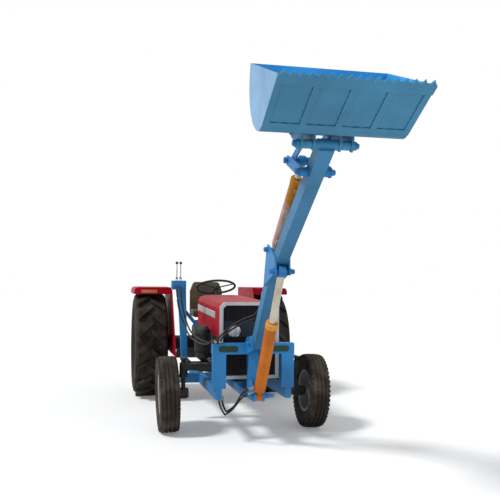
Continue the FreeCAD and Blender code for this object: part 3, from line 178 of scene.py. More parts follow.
def shade(code, factor):
    """A hex colour made lighter or darker."""
    parts = [min(255, round(int(code[i:i + 2], 16) * factor)) for i in (0, 2, 4)]
    return "".join(f"{part:02x}" for part in parts)


def painted(name, code, bare, rough, dust, chips, coat=0.0, gloss=0.25, splash=0.9):
    """Sprayed enamel: a slight drift of colour, small chips down to the bare colour, dust that settled on
    top, and dirt splashed from the ground up to the splash height in metres."""
    paint = Finish(name, code, rough, coat=coat, gloss=gloss)
    drift = paint.between(paint.noise(2.5), 0.3, 0.7)
    colour = paint.mix(drift, linear(shade(code, 0.9)), linear(shade(code, 1.08)))
    zone = paint.between(paint.noise(5.0, 2.0), 0.5, 0.7)
    grain = paint.between(paint.noise(70.0, 6.0), 0.62, 0.68)
    chipped = paint.maths("MULTIPLY", paint.maths("MULTIPLY", zone, grain), chips)
    colour = paint.mix(chipped, colour, linear(bare))
    settled = paint.maths("MULTIPLY", paint.between(paint.facing_up(), 0.3, 1.0), dust)
    splashed = paint.maths("MULTIPLY", paint.between(paint.height(), splash, 0.0), dust * 1.4)
    cloud = paint.between(paint.noise(9.0, 5.0), 0.3, 0.75)
    dirt = paint.maths("MULTIPLY", paint.maths("ADD", settled, splashed), cloud)
    colour = paint.mix(dirt, colour, linear(PAINT_DIRT))
    paint.bump(paint.noise(40.0, 4.0), 0.0012, 0.25)
    return paint.finish(colour, paint.between(dirt, 0.0, 0.6, rough, min(1.0, rough + 0.4)))


def tyre_rubber(name, dark, dusty):
    """Weathered tread rubber: brown-black, greyer where dust has dried on it, with a fine grain."""
    rubber = Finish(name, dark, 0.85, gloss=0.12)
    dust = rubber.between(rubber.noise(7.0, 6.0), 0.45, 0.75, 0.0, 0.6)
    colour = rubber.mix(dust, linear(dark), linear(dusty))
    scuffs = rubber.between(rubber.noise(45.0, 5.0), 0.58, 0.72, 0.0, 0.3)
    colour = rubber.mix(scuffs, colour, linear(RUBBER_SCUFF))
    rubber.bump(rubber.noise(120.0, 5.0), 0.0015, 0.5)
    return rubber.finish(colour, rubber.between(dust, 0.0, 0.75, 0.72, 0.95))


def cast_iron():
    """Painted castings under road dirt and oil: sand-cast grain, darker oily runs, brown dust."""
    iron = Finish("cast_iron_oily", "2b2c2e", 0.6, metal=0.1, gloss=0.25)
    oil = iron.between(iron.noise(6.0, 5.0, (1, 1, 0.4)), 0.45, 0.65)
    colour = iron.mix(oil, linear("323336"), linear("191714"))
    dust = iron.maths("MULTIPLY", iron.between(iron.facing_up(), 0.2, 1.0), 0.4)
    colour = iron.mix(dust, colour, linear(IRON_DUST))
    iron.bump(iron.noise(160.0, 4.0), 0.002, 0.6)
    return iron.finish(colour, iron.between(oil, 0.0, 1.0, 0.75, 0.35))


def bare_steel():
    """Worn steel of pins, nuts and the cutting edge: brown rust in patches and bright rubbed spots."""
    steel = Finish("steel_worn", "8b8781", 0.4, metal=0.85)
    rust = steel.between(steel.noise(14.0, 6.0), 0.5, 0.68)
    colour = steel.mix(rust, linear("8f8c87"), linear("5d4a3a"))
    steel.bump(steel.noise(220.0, 4.0), 0.0008, 0.5)
    return steel.finish(colour, steel.between(rust, 0.0, 1.0, 0.32, 0.75))


def chrome():
    """Hard chrome of the piston rods: bright, tinted warm in soft clouds of lighter and darker beige, a
    painted reflection of the ground; its roughness varies with the same clouds.
    """
    plate = Finish("chrome_rod_painted_warm_reflection", "c9bda8", 0.16, metal=1.0)
    reflection_clouds = plate.between(plate.noise(6.0, 2.0), 0.4, 0.7)
    # Lighter and darker warm beige: painted reflection of the ground
    colour = plate.mix(reflection_clouds, linear("cfc7b8"), linear("b5a68d"))
    return plate.finish(colour, plate.between(reflection_clouds, 0.0, 1.0, 0.12, 0.2))


def lift_enamel():
    """Orange enamel of the lower cylinder, sun-faded in clouds, paler on the gland, with a few scars."""
    coat = Finish("lift_cylinder_orange", "b5600a", 0.45, gloss=0.2)
    fade = coat.between(coat.noise(4.0, 3.0), 0.35, 0.65)
    colour = coat.mix(fade, linear("a95707"), linear("c36c0f"))
    barrel_end, gland_start = 0.826, 0.83
    gland = coat.between(coat.along(LIFT_BASE, LIFT_WAY), barrel_end, gland_start, 0.0, 0.55)
    colour = coat.mix(gland, colour, linear("e8ab55"))
    scars = coat.between(coat.noise(30.0, 4.0, (1, 1, 0.5)), 0.68, 0.71, 0.0, 0.6)
    colour = coat.mix(scars, colour, linear("7a5a40"))
    coat.bump(coat.noise(60.0, 3.0), 0.001, 0.3)
    return coat.finish(colour, coat.between(scars, 0.0, 0.6, 0.4, 0.6))


def tilt_enamel():
    """Brown-orange enamel of the upper cylinder, orange at the gland end, in grey and pink patches that grow
    towards the base.
    """
    coat = Finish("tilt_cylinder_grey_pink_patched", "a9701f", 0.45, gloss=0.2)
    cloud = coat.noise(10.0, 4.0, (1, 1, 0.7))
    patched_to, orange_from = 0.45, 0.72
    patch_share = coat.between(coat.along(TILT_BASE, TILT_WAY), patched_to, orange_from, 0.22, -0.25)
    patched = coat.between(coat.maths("ADD", cloud, patch_share), 0.5, 0.55)
    colour = coat.mix(coat.noise(6.0), linear("9c6419"), linear("bd7d28"))
    grey_pink = coat.mix(coat.between(coat.noise(16.0), 0.4, 0.6), linear("a9abb0"), linear("b58673"))
    colour = coat.mix(patched, colour, grey_pink)
    coat.bump(patched, 0.0008, 0.4)
    return coat.finish(colour, coat.between(patched, 0.0, 1.0, 0.42, 0.6))


def moulded_black(name, code, rough):
    """Moulded black plastic and hose rubber: fine grain, dust caught in it."""
    plastic = Finish(name, code, rough)
    dust = plastic.between(plastic.noise(11.0, 5.0), 0.5, 0.8, 0.0, 0.3)
    colour = plastic.mix(dust, linear(code), linear(PLASTIC_DUST))
    plastic.bump(plastic.noise(300.0, 2.0), 0.0006, 0.4)
    return plastic.finish(colour, plastic.between(dust, 0.0, 0.3, rough, rough + 0.2))


def seat_vinyl():
    """Sun-browned vinyl of the seat: small leather grain and paler rubbed patches."""
    vinyl = Finish("seat_vinyl_worn", "4b4230", 0.5)
    rubbed = vinyl.between(vinyl.noise(5.0, 4.0), 0.4, 0.7)
    colour = vinyl.mix(rubbed, linear("3e3728"), linear("5b513c"))
    cells = vinyl.add("ShaderNodeTexVoronoi", feature="DISTANCE_TO_EDGE")
    vinyl.links.new(vinyl.place, cells.inputs["Vector"])
    cells.inputs["Scale"].default_value = 260.0
    vinyl.bump(cells.outputs["Distance"], 0.002, 0.5)
    return vinyl.finish(colour, vinyl.between(rubbed, 0.0, 1.0, 0.42, 0.6))


def lamp_glass(name, code, transmission):
    """Ribbed lamp glass, a little clear."""
    glass = Finish(name, code, 0.12, coat=0.6)
    ribs = glass.noise(60.0, 1.0, (1, 1, 0.15))
    colour = glass.mix(glass.between(ribs, 0.35, 0.65), linear(shade(code, 0.82)), linear(code))
    glass.shader.inputs["Transmission Weight"].default_value = transmission
    glass.bump(ribs, 0.003, 0.5)
    return glass.finish(colour)


RUBBER = tyre_rubber("tyre_rubber_dusty", "24201d", "5a5045")
FRONT_RUBBER = tyre_rubber("front_tyre_rubber_dusty", "312b27", "6e6254")
IRON = cast_iron()
STEEL = bare_steel()
CHROME = chrome()
BLUE = painted("loader_blue_enamel", "2878b3", "6a5344", 0.45, dust=0.12, chips=0.55)
BOOM_BLUE = painted("boom_blue_weathered", "38769d", "8fb0c8", 0.5, dust=0.1, chips=0.7)
BUCKET_BLUE = painted("bucket_blue_weathered", "3b7b9d", "5f5348", 0.5, dust=0.1, chips=0.5)
# Inside of the bucket: the bucket's blue painted brighter, a painted highlight of the lit cavity
LIT_BUCKET_INSIDE = painted("bucket_inside_painted_highlight", "3fb2f0", "5d8ab0", 0.42, dust=0.05, chips=0.8)
# Outsides of both bucket cheeks: the bucket's blue painted paler, a painted highlight of sun on the side
# plates
SUNLIT_SIDE_BLUE = painted("bucket_side_painted_highlight", "84acd0", "b4cbe0", 0.55, dust=0.08, chips=1.0)
RED = painted("tractor_red_enamel", "9c0b20", "4a2320", 0.42, dust=0.05, chips=0.35, gloss=0.05)
GREY_RIM = painted("front_rim_grey", "8e9194", "6a4a38", 0.5, dust=0.5, chips=0.8, splash=0.6)
SILVER_RIM = painted("rear_rim_silver", "a6a8a6", "7b5b45", 0.42, dust=0.45, chips=0.7, splash=1.0)
FRAME_SILVER = painted("grille_frame_silver", "b9bbbc", "6b6b6b", 0.3, dust=0.1, chips=0.3, coat=0.3)
DARK = painted("chassis_black", "1f2022", "4a3d33", 0.55, dust=0.4, chips=0.5, splash=1.0)
MESH_BLACK = painted("grille_black", "121315", "2c2724", 0.6, dust=0.2, chips=0.3)
NAVY = painted("lamp_panel_navy", "1b2436", "3a3a42", 0.4, dust=0.1, chips=0.2)
PLASTIC = moulded_black("black_plastic_moulded", "18181a", 0.5)
HOSE = moulded_black("hose_rubber", "0f0f10", 0.42)
VINYL = seat_vinyl()
LIFT_ORANGE = lift_enamel()
TILT_ORANGE = tilt_enamel()
LENS = lamp_glass("headlamp_lens", "dfeaf2", 0.25)
AMBER = lamp_glass("fender_lamp_amber", "d9742a", 0.1)
WELD = painted("weld_bead_dark", "1f4d6b", "5f5348", 0.5, dust=0.1, chips=0.5)
PLATE_GREEN = painted("plate_green", "1d3a30", "8a8a84", 0.4, dust=0.1, chips=0.2)

FINISHES = {
    "tyre_rubber": RUBBER, "front_rim_paint": GREY_RIM, "rear_rim_paint": SILVER_RIM, "loader_blue": BLUE,
    "bucket_blue": BUCKET_BLUE, "tractor_red": RED, "grey_castings": IRON, "frame_silver": FRAME_SILVER,
    "grille_black": MESH_BLACK, "lamp_panel_navy": NAVY, "headlamp_glass": LENS, "lamp_orange": AMBER,
    "seat_olive": VINYL, "black_plastic": PLASTIC, "cylinder_orange": LIFT_ORANGE, "chrome_rod": CHROME,
    "bare_steel": STEEL, "dark_steel": DARK,
}

# Every solid takes its slot's finish, and five of them then take another
for part in frame["record"]["subparts"]:
    mesh = nodes[part["node"]].data
    mesh.materials.clear()
    mesh.materials.append(FINISHES[part["material_slot"]])
nodes["tilt_barrel"].data.materials[0] = TILT_ORANGE
nodes["boom"].data.materials[0] = BOOM_BLUE
for tyre in ("front_tyre_left", "front_tyre_right"):
    nodes[tyre].data.materials[0] = FRONT_RUBBER
nodes["frame_hoses"].data.materials[0] = HOSE


def second_finish(name, finish, chosen):
    """Gives a second finish to the faces of a node that pass a test of the face and its corners."""
    mesh = nodes[name].data
    mesh.materials.append(finish)
    for face in mesh.polygons:
        if chosen(face, [mesh.vertices[i].co for i in face.vertices]):
            face.material_index = len(mesh.materials) - 1


BUCKET_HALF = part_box("bucket")[1][0]
BUCKET_MIDDLE = Vector((0, -2.78, 2.78))
CHEEK_LEAST, CHEEK_MOST = 0.004, 0.0095
SKIN = 0.001


def in_the_bucket(face, corners):
    """The cavity's faces look to the bucket's middle and end at the inner sides of the cheeks."""
    cheek = BUCKET_HALF - max(abs(corner.x) for corner in corners)
    return CHEEK_LEAST < cheek < CHEEK_MOST and face.normal.dot(BUCKET_MIDDLE - face.center) > 0


def outside_a_cheek(face, corners):
    return abs(face.center.x) > BUCKET_HALF - SKIN


def within(reach, place):
    """A test for faces whose centre lies within reach of a place."""
    return lambda face, corners: (face.center - place).length < reach


LIFT_EYE = BOOM_PIVOT + Vector((0, -0.860, 0.677))
TILT_EYE = Vector((0, AXLE - 2.235, 2.485))
# The cavity takes the brighter paint of a painted highlight
second_finish("bucket", LIT_BUCKET_INSIDE, in_the_bucket)
# The outsides of the cheeks take the paler paint of a painted highlight
second_finish("bucket", SUNLIT_SIDE_BLUE, outside_a_cheek)
second_finish("lift_rod", BLUE, within(0.056, LIFT_EYE))
second_finish("tilt_rod", BLUE, within(0.05, TILT_EYE))


# Helpers that make pieces
def piece(name, mesh, body, slot, finish=None):
    """Makes a mesh an object at the origin, with its slot's finish or its own; a body makes it ride there."""
    obj = bpy.data.objects.new(name, mesh)
    bpy.context.collection.objects.link(obj)
    mesh.materials.clear()
    mesh.materials.append(finish or FINISHES[slot])
    if body:
        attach(obj, body)
    return obj


def mesh_of(name, shape, smooth=None):
    """A bmesh turned into a mesh, with its faces outwards and smooth up to the given angle."""
    bmesh.ops.recalc_face_normals(shape, faces=shape.faces)
    mesh = bpy.data.meshes.new(name)
    shape.to_mesh(mesh)
    shape.free()
    if smooth:
        mesh.shade_smooth()
        mesh.set_sharp_from_angle(angle=math.radians(smooth))
    return mesh


def turning(way, start=Vector((0, 0, 1))):
    """The rotation that turns the start direction to the way."""
    return start.rotation_difference(Vector(way)).to_matrix().to_4x4()


def turned(name, body, slot, profile, centre, way, steps=32, smooth=35):
    """A turned piece. Its profile holds pairs of radius and distance along the way; it runs from axis to
    axis, or else closes on itself."""
    turns = [math.tau * i / steps for i in range(steps)]
    shape = bmesh.new()
    rings = []
    for radius, along in profile:
        if radius:
            places = [(radius * math.cos(t), radius * math.sin(t), along) for t in turns]
            rings.append([shape.verts.new(place) for place in places])
        else:
            rings.append([shape.verts.new((0, 0, along))])
    closed = len(rings[0]) > 1 and len(rings[-1]) > 1
    for a, b in list(zip(rings, rings[1:])) + ([(rings[-1], rings[0])] if closed else []):
        for i in range(steps):
            j = (i + 1) % steps
            corners = [a[i % len(a)], a[j % len(a)], b[j % len(b)], b[i % len(b)]]
            shape.faces.new(list(dict.fromkeys(corners)))
    shape.transform(Matrix.Translation(centre) @ turning(way))
    piece(name, mesh_of(name, shape, smooth), body, slot)


def block(shape, size, centre, turn=None, bevel=0.0):
    """Adds a block, with bevelled edges if asked, to a bmesh."""
    made = bmesh.ops.create_cube(shape, size=1.0)["verts"]
    bmesh.ops.scale(shape, vec=size, verts=made)
    if bevel:
        edges = list({edge for vert in made for edge in vert.link_edges})
        made = bmesh.ops.bevel(shape, geom=edges, offset=bevel, segments=2, affect="EDGES",
                               profile=0.5)["verts"]
    matrix = Matrix.Translation(centre) @ (turn or Matrix())
    bmesh.ops.transform(shape, matrix=matrix, verts=list(set(made)))


def evaluated_mesh(obj):
    return bpy.data.meshes.new_from_object(obj.evaluated_get(bpy.context.evaluated_depsgraph_get()))


def tube_mesh(name, points, radius):
    """A smooth round tube along a NURBS route, closed at both ends."""
    curve = bpy.data.curves.new(name, "CURVE")
    curve.dimensions = "3D"
    spline = curve.splines.new("NURBS")
    spline.points.add(len(points) - 1)
    for target, point in zip(spline.points, points):
        target.co = (*point, 1)
    spline.order_u = 3
    spline.use_endpoint_u = True
    spline.resolution_u = 8
    curve.bevel_depth = radius
    curve.bevel_resolution = 2
    curve.use_fill_caps = True
    obj = bpy.data.objects.new(name, curve)
    bpy.context.collection.objects.link(obj)
    mesh = evaluated_mesh(obj)
    bpy.data.objects.remove(obj)
    bpy.data.curves.remove(curve)
    mesh.shade_smooth()
    return mesh


# Geometry Nodes: trees for what stands on a circle or in a row, each run once into a plain mesh
def new_tree(name, sizes):
    """A tree with its sizes as inputs; gives the tree and those inputs inside it."""
    tree = bpy.data.node_groups.new(name, "GeometryNodeTree")
    tree.interface.new_socket("Geometry", in_out="OUTPUT", socket_type="NodeSocketGeometry")
    for key, value in sizes.items():
        kind = "NodeSocketInt" if isinstance(value, int) else "NodeSocketFloat"
        tree.interface.new_socket(key, in_out="INPUT", socket_type=kind).default_value = value
    return tree, tree.nodes.new("NodeGroupInput").outputs


def circle_points(tree, inputs):
    ring = tree.nodes.new("GeometryNodeMeshCircle")
    tree.links.new(inputs["Count"], ring.inputs["Vertices"])
    tree.links.new(inputs["Circle radius"], ring.inputs["Radius"])
    return ring.outputs["Mesh"]


def maths(tree, operation, a, b):
    """A Math node whose two inputs are sockets or numbers."""
    node = tree.nodes.new("ShaderNodeMath")
    node.operation = operation
    for socket, value in zip(node.inputs, (a, b)):
        if isinstance(value, bpy.types.NodeSocket):
            tree.links.new(value, socket)
        else:
            socket.default_value = value
    return node.outputs["Value"]


def grown(name, tree, place, **spread_inputs):
    """Puts instances on points, realises them, runs the tree once and moves its mesh to the place."""
    spread = tree.nodes.new("GeometryNodeInstanceOnPoints")
    for key, socket in spread_inputs.items():
        tree.links.new(socket, spread.inputs[key])
    real = tree.nodes.new("GeometryNodeRealizeInstances")
    out = tree.nodes.new("NodeGroupOutput")
    tree.links.new(spread.outputs["Instances"], real.inputs["Geometry"])
    tree.links.new(real.outputs["Geometry"], out.inputs["Geometry"])
    holder = bpy.data.objects.new(name, bpy.data.meshes.new(name))
    bpy.context.collection.objects.link(holder)
    holder.modifiers.new("Grow", "NODES").node_group = tree
    mesh = evaluated_mesh(holder)
    mesh.transform(place)
    bpy.data.objects.remove(holder)
    return mesh


def nut_circle(name, centre, way, count, radius, across, tall):
    """Hexagon nuts, each with its stud end, evenly round a circle."""
    tree, inputs = new_tree(name, {"Count": count, "Circle radius": radius, "Nut radius": across,
                                   "Nut height": tall})
    join = tree.nodes.new("GeometryNodeJoinGeometry")
    for corners, wider, taller in ((6, 1.0, 1.0), (10, 0.5, 1.7)):
        prism = tree.nodes.new("GeometryNodeMeshCylinder")
        prism.inputs["Vertices"].default_value = corners
        tree.links.new(maths(tree, "MULTIPLY", inputs["Nut radius"], wider), prism.inputs["Radius"])
        tree.links.new(maths(tree, "MULTIPLY", inputs["Nut height"], taller), prism.inputs["Depth"])
        tree.links.new(prism.outputs["Mesh"], join.inputs[0])
    return grown(name, tree, Matrix.Translation(centre) @ turning(way),
                 Points=circle_points(tree, inputs), Instance=join.outputs[0])


def bars_on_circle(name, centre, way, count, radius, size):
    """Blocks evenly round a circle, each turned to face outwards."""
    tree, inputs = new_tree(name, {"Count": count, "Circle radius": radius})
    bar = tree.nodes.new("GeometryNodeMeshCube")
    bar.inputs["Size"].default_value = size
    place = tree.nodes.new("GeometryNodeInputPosition")
    align = tree.nodes.new("FunctionNodeAlignRotationToVector")
    align.axis = "X"
    tree.links.new(place.outputs[0], align.inputs["Vector"])
    return grown(name, tree, Matrix.Translation(centre) @ turning(way),
                 Points=circle_points(tree, inputs), Instance=bar.outputs["Mesh"], Rotation=align.outputs[0])


def row_of_beads(name, start, end, count, length, thick):
    """Short weld beads in a broken line from one place to another."""
    tree, inputs = new_tree(name, {"Count": count, "Span": (end - start).length, "Bead length": length,
                                   "Bead thickness": thick})
    line = tree.nodes.new("GeometryNodeMeshLine")
    line.mode = "END_POINTS"
    line.count_mode = "TOTAL"
    reach = tree.nodes.new("ShaderNodeCombineXYZ")
    tree.links.new(inputs["Count"], line.inputs["Count"])
    tree.links.new(inputs["Span"], reach.inputs["X"])
    tree.links.new(reach.outputs[0], line.inputs["Offset"])
    bead = tree.nodes.new("GeometryNodeMeshUVSphere")
    for key, value in (("Segments", 8), ("Rings", 5), ("Radius", 0.5)):
        bead.inputs[key].default_value = value
    shape = tree.nodes.new("ShaderNodeCombineXYZ")
    for axis, source in (("X", "Bead length"), ("Y", "Bead thickness"), ("Z", "Bead thickness")):
        tree.links.new(inputs[source], shape.inputs[axis])
    return grown(name, tree, Matrix.Translation(start) @ turning(end - start, Vector((1, 0, 0))),
                 Points=line.outputs["Mesh"], Instance=bead.outputs["Mesh"], Scale=shape.outputs[0])


# Wheels
SIDES = ((1, "left"), (-1, "right"))
FRONT_NUTS_OUT = 0.008
REAR_NUTS_IN = 0.203
REAR_CAP_IN = 0.185
BAR_INSET = 0.021
BAR_OFFSET = 0.083


def wheel_nuts():
    """Nuts on the front hubs, and nuts and a cap on the rear hubs, which lie deep in their rims."""
    cap = [(0.0, 0.034), (0.03, 0.033), (0.052, 0.026), (0.06, 0.012), (0.06, 0.0), (0.0, 0.0)]
    for side, name in SIDES:
        spin = joints[f"front_wheel_{name}_spin"]
        way = Vector(spin["axis"]) * side
        nuts = nut_circle(f"front_nuts_{name}", Vector(spin["pos_m"]) + way * FRONT_NUTS_OUT, way,
                          count=6, radius=0.062, across=0.011, tall=0.012)
        piece(f"front_nuts_{name}", nuts, f"front_wheel_{name}", "bare_steel")
        centre = Vector(joints[f"rear_wheel_{name}_spin"]["pos_m"])
        way = Vector((side, 0, 0))
        nuts = nut_circle(f"rear_nuts_{name}", centre - way * REAR_NUTS_IN, way,
                          count=8, radius=0.1015, across=0.013, tall=0.02)
        piece(f"rear_nuts_{name}", nuts, f"rear_wheel_{name}", "bare_steel")
        turned(f"rear_hub_cap_{name}", f"rear_wheel_{name}", "dark_steel", cap,
               centre - way * REAR_CAP_IN, way)


def shoulder_bars():
    """The notched shoulders of the front tyres: a row of short bars on each side of the tread."""
    for side, name in SIDES:
        spin = joints[f"front_wheel_{name}_spin"]
        centre, way = Vector(spin["pos_m"]), Vector(spin["axis"])
        low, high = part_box(f"front_tyre_{name}")
        radius = (high[1] - low[1]) / 2 - BAR_INSET
        for edge, offset in (("outer", BAR_OFFSET), ("inner", -BAR_OFFSET)):
            bars = f"front_bars_{edge}_{name}"
            mesh = bars_on_circle(bars, centre + way * offset * side, way, count=48, radius=radius,
                                  size=(0.02, 0.03, 0.026))
            piece(bars, mesh, f"front_wheel_{name}", "tyre_rubber", FRONT_RUBBER)


# Bucket: broken weld lines under its floor, beside the straps and before the heel strap
STRAP_HALF = 0.0225
STRAP_PLACE = 0.238
STRAPS_START, STRAPS_STOP = 0.076, 0.466
FLOOR_TILT = math.radians(28.5)
LIP = Vector((0, AXLE - 3.420, 2.777))


def bucket_welds():
    back = Vector((0, math.cos(FLOOR_TILT), -math.sin(FLOOR_TILT)))
    under = Vector((0, -math.sin(FLOOR_TILT), -math.cos(FLOOR_TILT)))
    skin = LIP + under * SKIN
    heel = STRAPS_STOP - 2 * STRAP_HALF
    front, rear = skin + back * (STRAPS_START + 0.03), skin + back * (heel - 0.02)
    places = [STRAP_HALF - BUCKET_HALF, -STRAP_PLACE, 0.0, STRAP_PLACE, BUCKET_HALF - STRAP_HALF]
    for number, x in enumerate(places):
        for side, mark in ((1, "a"), (-1, "b")):
            edge = Vector((x + side * (STRAP_HALF + SKIN), 0, 0))
            if abs(edge.x) < BUCKET_HALF - 0.01:
                name = f"strap_weld_{number}{mark}"
                mesh = row_of_beads(name, front + edge, rear + edge, count=7, length=0.034, thick=0.006)
                piece(name, mesh, "bucket", "bucket_blue", WELD)
    for number, (left, right) in enumerate(zip(places, places[1:])):
        along_heel = skin + back * (heel - 0.002)
        start = along_heel + Vector((left + STRAP_HALF + 0.02, 0, 0))
        end = along_heel + Vector((right - STRAP_HALF - 0.02, 0, 0))
        name = f"heel_weld_{number}"
        mesh = row_of_beads(name, start, end, count=3, length=0.055, thick=0.007)
        piece(name, mesh, "bucket", "bucket_blue", WELD)


# Front of the tractor: lamps and grille
def headlamps():
    """A chrome bezel and a domed lens over each lamp's bowl."""
    low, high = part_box("headlamps")
    radius = (high[2] - low[2]) / 2
    place = (high[0] - low[0]) / 2 - radius
    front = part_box("lamp_panel")[0][1]
    bezel = [(radius - 0.006, -0.002), (radius, -0.009), (radius + 0.006, -0.008), (radius + 0.009, 0.0),
             (radius - 0.006, 0.002)]
    lens = [(0.0, -0.0135), (radius * 0.5, -0.0125), (radius - 0.006, -0.0075), (radius - 0.005, 0.0),
            (0.0, 0.001)]
    for side, name in SIDES:
        centre = Vector((side * place, front, (high[2] + low[2]) / 2))
        turned(f"headlamp_bezel_{name}", "tractor", "chrome_rod", bezel, centre, (0, 1, 0), 48)
        turned(f"headlamp_lens_{name}", "tractor", "headlamp_glass", lens, centre, (0, 1, 0), 48, 60)


def grille_backing():
    """The dark mesh behind the slats, as wide as the opening in the frame."""
    low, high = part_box("grille_slats")
    margin, thick, behind = 0.006, 0.003, 0.012
    shape = bmesh.new()
    block(shape, (high[0] - low[0] - margin, thick, high[2] - low[2] - margin),
          (0, high[1] + behind, (low[2] + high[2]) / 2))
    piece("grille_mesh", mesh_of("grille_mesh", shape), "tractor", "grille_black")


# Small parts of the loader
KNOB_RADIUS = 0.016
PLATE_SIZE = (0.19, 0.003, 0.058)
PLATE_OUT, PLATE_DOWN = 0.255, 0.052


def lever_knobs():
    angles = [math.radians(a) for a in range(-70, 80, 20)]
    ball = [(KNOB_RADIUS * math.cos(a), KNOB_RADIUS * math.sin(a)) for a in angles]
    ball = [(0.0, -KNOB_RADIUS)] + ball + [(0.0, KNOB_RADIUS)]
    for name in ("boom", "bucket"):
        low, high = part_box(f"{name}_lever")
        centre = Vector(((low[0] + high[0]) / 2, (low[1] + high[1]) / 2, high[2] - 0.014))
        turned(f"{name}_lever_knob", f"{name}_lever", "black_plastic", ball, centre, (0, 0, 1), 20)


def pin_bolts():
    """A hexagon bolt on each end of every pin that shows, and the handle end of the lift cylinder's pin.
    Each row gives a pin's centre, how far out its ends are and the body that holds it."""
    pins = (("boom_foot", BOOM_PIVOT, 0.093, "tractor"), ("lift_base", LIFT_BASE, 0.0715, "tractor"),
            ("lift_eye", LIFT_EYE, 0.0965, "boom"), ("tilt_base", TILT_BASE, 0.0865, "boom"),
            ("rocker", Vector(joints["rocker_swing"]["pos_m"]), 0.137, "boom"),
            ("bucket", BUCKET_PIVOT, 0.2225, "boom"))
    bolt = [(0.0, -0.006), (0.02, -0.006), (0.021, -0.002), (0.021, 0.011), (0.017, 0.014), (0.0, 0.014)]
    for name, centre, reach, body in pins:
        for side, hand in SIDES:
            start = centre + Vector((side * reach, 0, 0))
            turned(f"{name}_bolt_{hand}", body, "loader_blue", bolt, start, (side, 0, 0), 6, 20)
    stub = [(0.0, 0.0), (0.024, 0.0), (0.024, 0.03), (0.018, 0.034), (0.018, 0.075), (0.0, 0.075)]
    turned("lift_base_pin_end", "tractor", "loader_blue", stub,
           LIFT_BASE + Vector((0.07, 0, 0)), (1, 0, 0), 20)


def oval_plates():
    """The two oval plates on the crossbar, left bare."""
    low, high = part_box("front_frame")
    thick, tall = PLATE_SIZE[1:]
    for side, hand in reversed(SIDES):
        plate = bmesh.new()
        block(plate, PLATE_SIZE, Vector((side * PLATE_OUT, low[1] - thick / 2, high[2] - PLATE_DOWN)))
        through = [edge for edge in plate.edges if abs(edge.verts[0].co.y - edge.verts[1].co.y) > thick / 2]
        bmesh.ops.bevel(plate, geom=through, offset=tall / 2 - 0.002, segments=8, affect="EDGES", profile=0.5)
        name = f"crossbar_plate_{hand}"
        piece(name, mesh_of(name, plate), "tractor", "grille_black", PLATE_GREEN)


# Hoses: the pairs that cross a joint, each a fixed tube between its two bodies that rides with neither
HOSE_RADIUS = 0.009
PAIR_HALF = 0.026
FRAME_HOSES_X = (-0.3845, -0.3395)
CROSSBAR_TOP = 0.98
BOOM_CLAMP, CLAMP_GAP = 0.55, 0.016
TILT_PORTS = (0.17, 0.76)
PORT_DEPTH, FOOT_DEPTH = 0.066, 0.084
RAIL_OUTLET = Vector((-0.325, AXLE - 0.53, 0.435))
LIFT_BEND = Vector((-0.285, AXLE - 0.65, 0.285))
LIFT_PORT = Vector((-0.062, 0, 0))
KNEE = Vector((0, AXLE - 1.357, 1.593))
BOOM_WAY = (KNEE - BOOM_PIVOT).normalized()
BOOM_UP = Vector((0, BOOM_WAY.z, -BOOM_WAY.y))
BOOM_FACE = 0.0575
UPPER_WAY = (BUCKET_PIVOT - KNEE).normalized()
UPPER_UP = Vector((0, UPPER_WAY.z, -UPPER_WAY.y))


def union(name, at, way, body):
    """A crimped hose end with its union nut, which starts a little behind the hose's end."""
    profile = [(0.0, -0.012), (0.010, -0.012), (0.010, 0.0), (0.015, 0.0), (0.015, 0.018), (0.012, 0.02),
               (0.0125, 0.05), (0.0, 0.05)]
    turned(name, body, "bare_steel", profile, Vector(at), way, 16)


def hose(name, route):
    """A hose along its route between two bodies, a fixed tube that rides with neither."""
    obj = piece(name, tube_mesh(name, route, HOSE_RADIUS), None, "black_plastic", HOSE)
    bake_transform(obj)


def tilt_hose(number, begin, beside, port_at):
    """From the boom's clamp to a port that stands on an arm of the tilt cylinder's barrel."""
    port = TILT_BASE + TILT_WAY * port_at - UPPER_UP * PORT_DEPTH + beside
    foot = TILT_BASE + TILT_WAY * 0.02 - UPPER_UP * FOOT_DEPTH + beside
    route = [begin, begin + BOOM_WAY * 0.09, begin + BOOM_WAY * 0.2 + BOOM_UP * 0.012, foot,
             foot + TILT_WAY * 0.07, port]
    hose(f"tilt_hose_{number}", route)
    union(f"tilt_union_{number}", port, tuple(-TILT_WAY), "tilt_barrel")
    arm, turn, middle = bmesh.new(), turning(TILT_WAY), port + TILT_WAY * 0.012
    block(arm, (PAIR_HALF + 0.026, 0.024, 0.03), middle - beside / 2, turn, 0.003)
    block(arm, (0.026, 0.05, 0.026), middle - beside + UPPER_UP * 0.02, turn, 0.003)
    name = f"tilt_port_{number}"
    piece(name, mesh_of(name, arm), "tilt_barrel", "cylinder_orange", TILT_ORANGE)


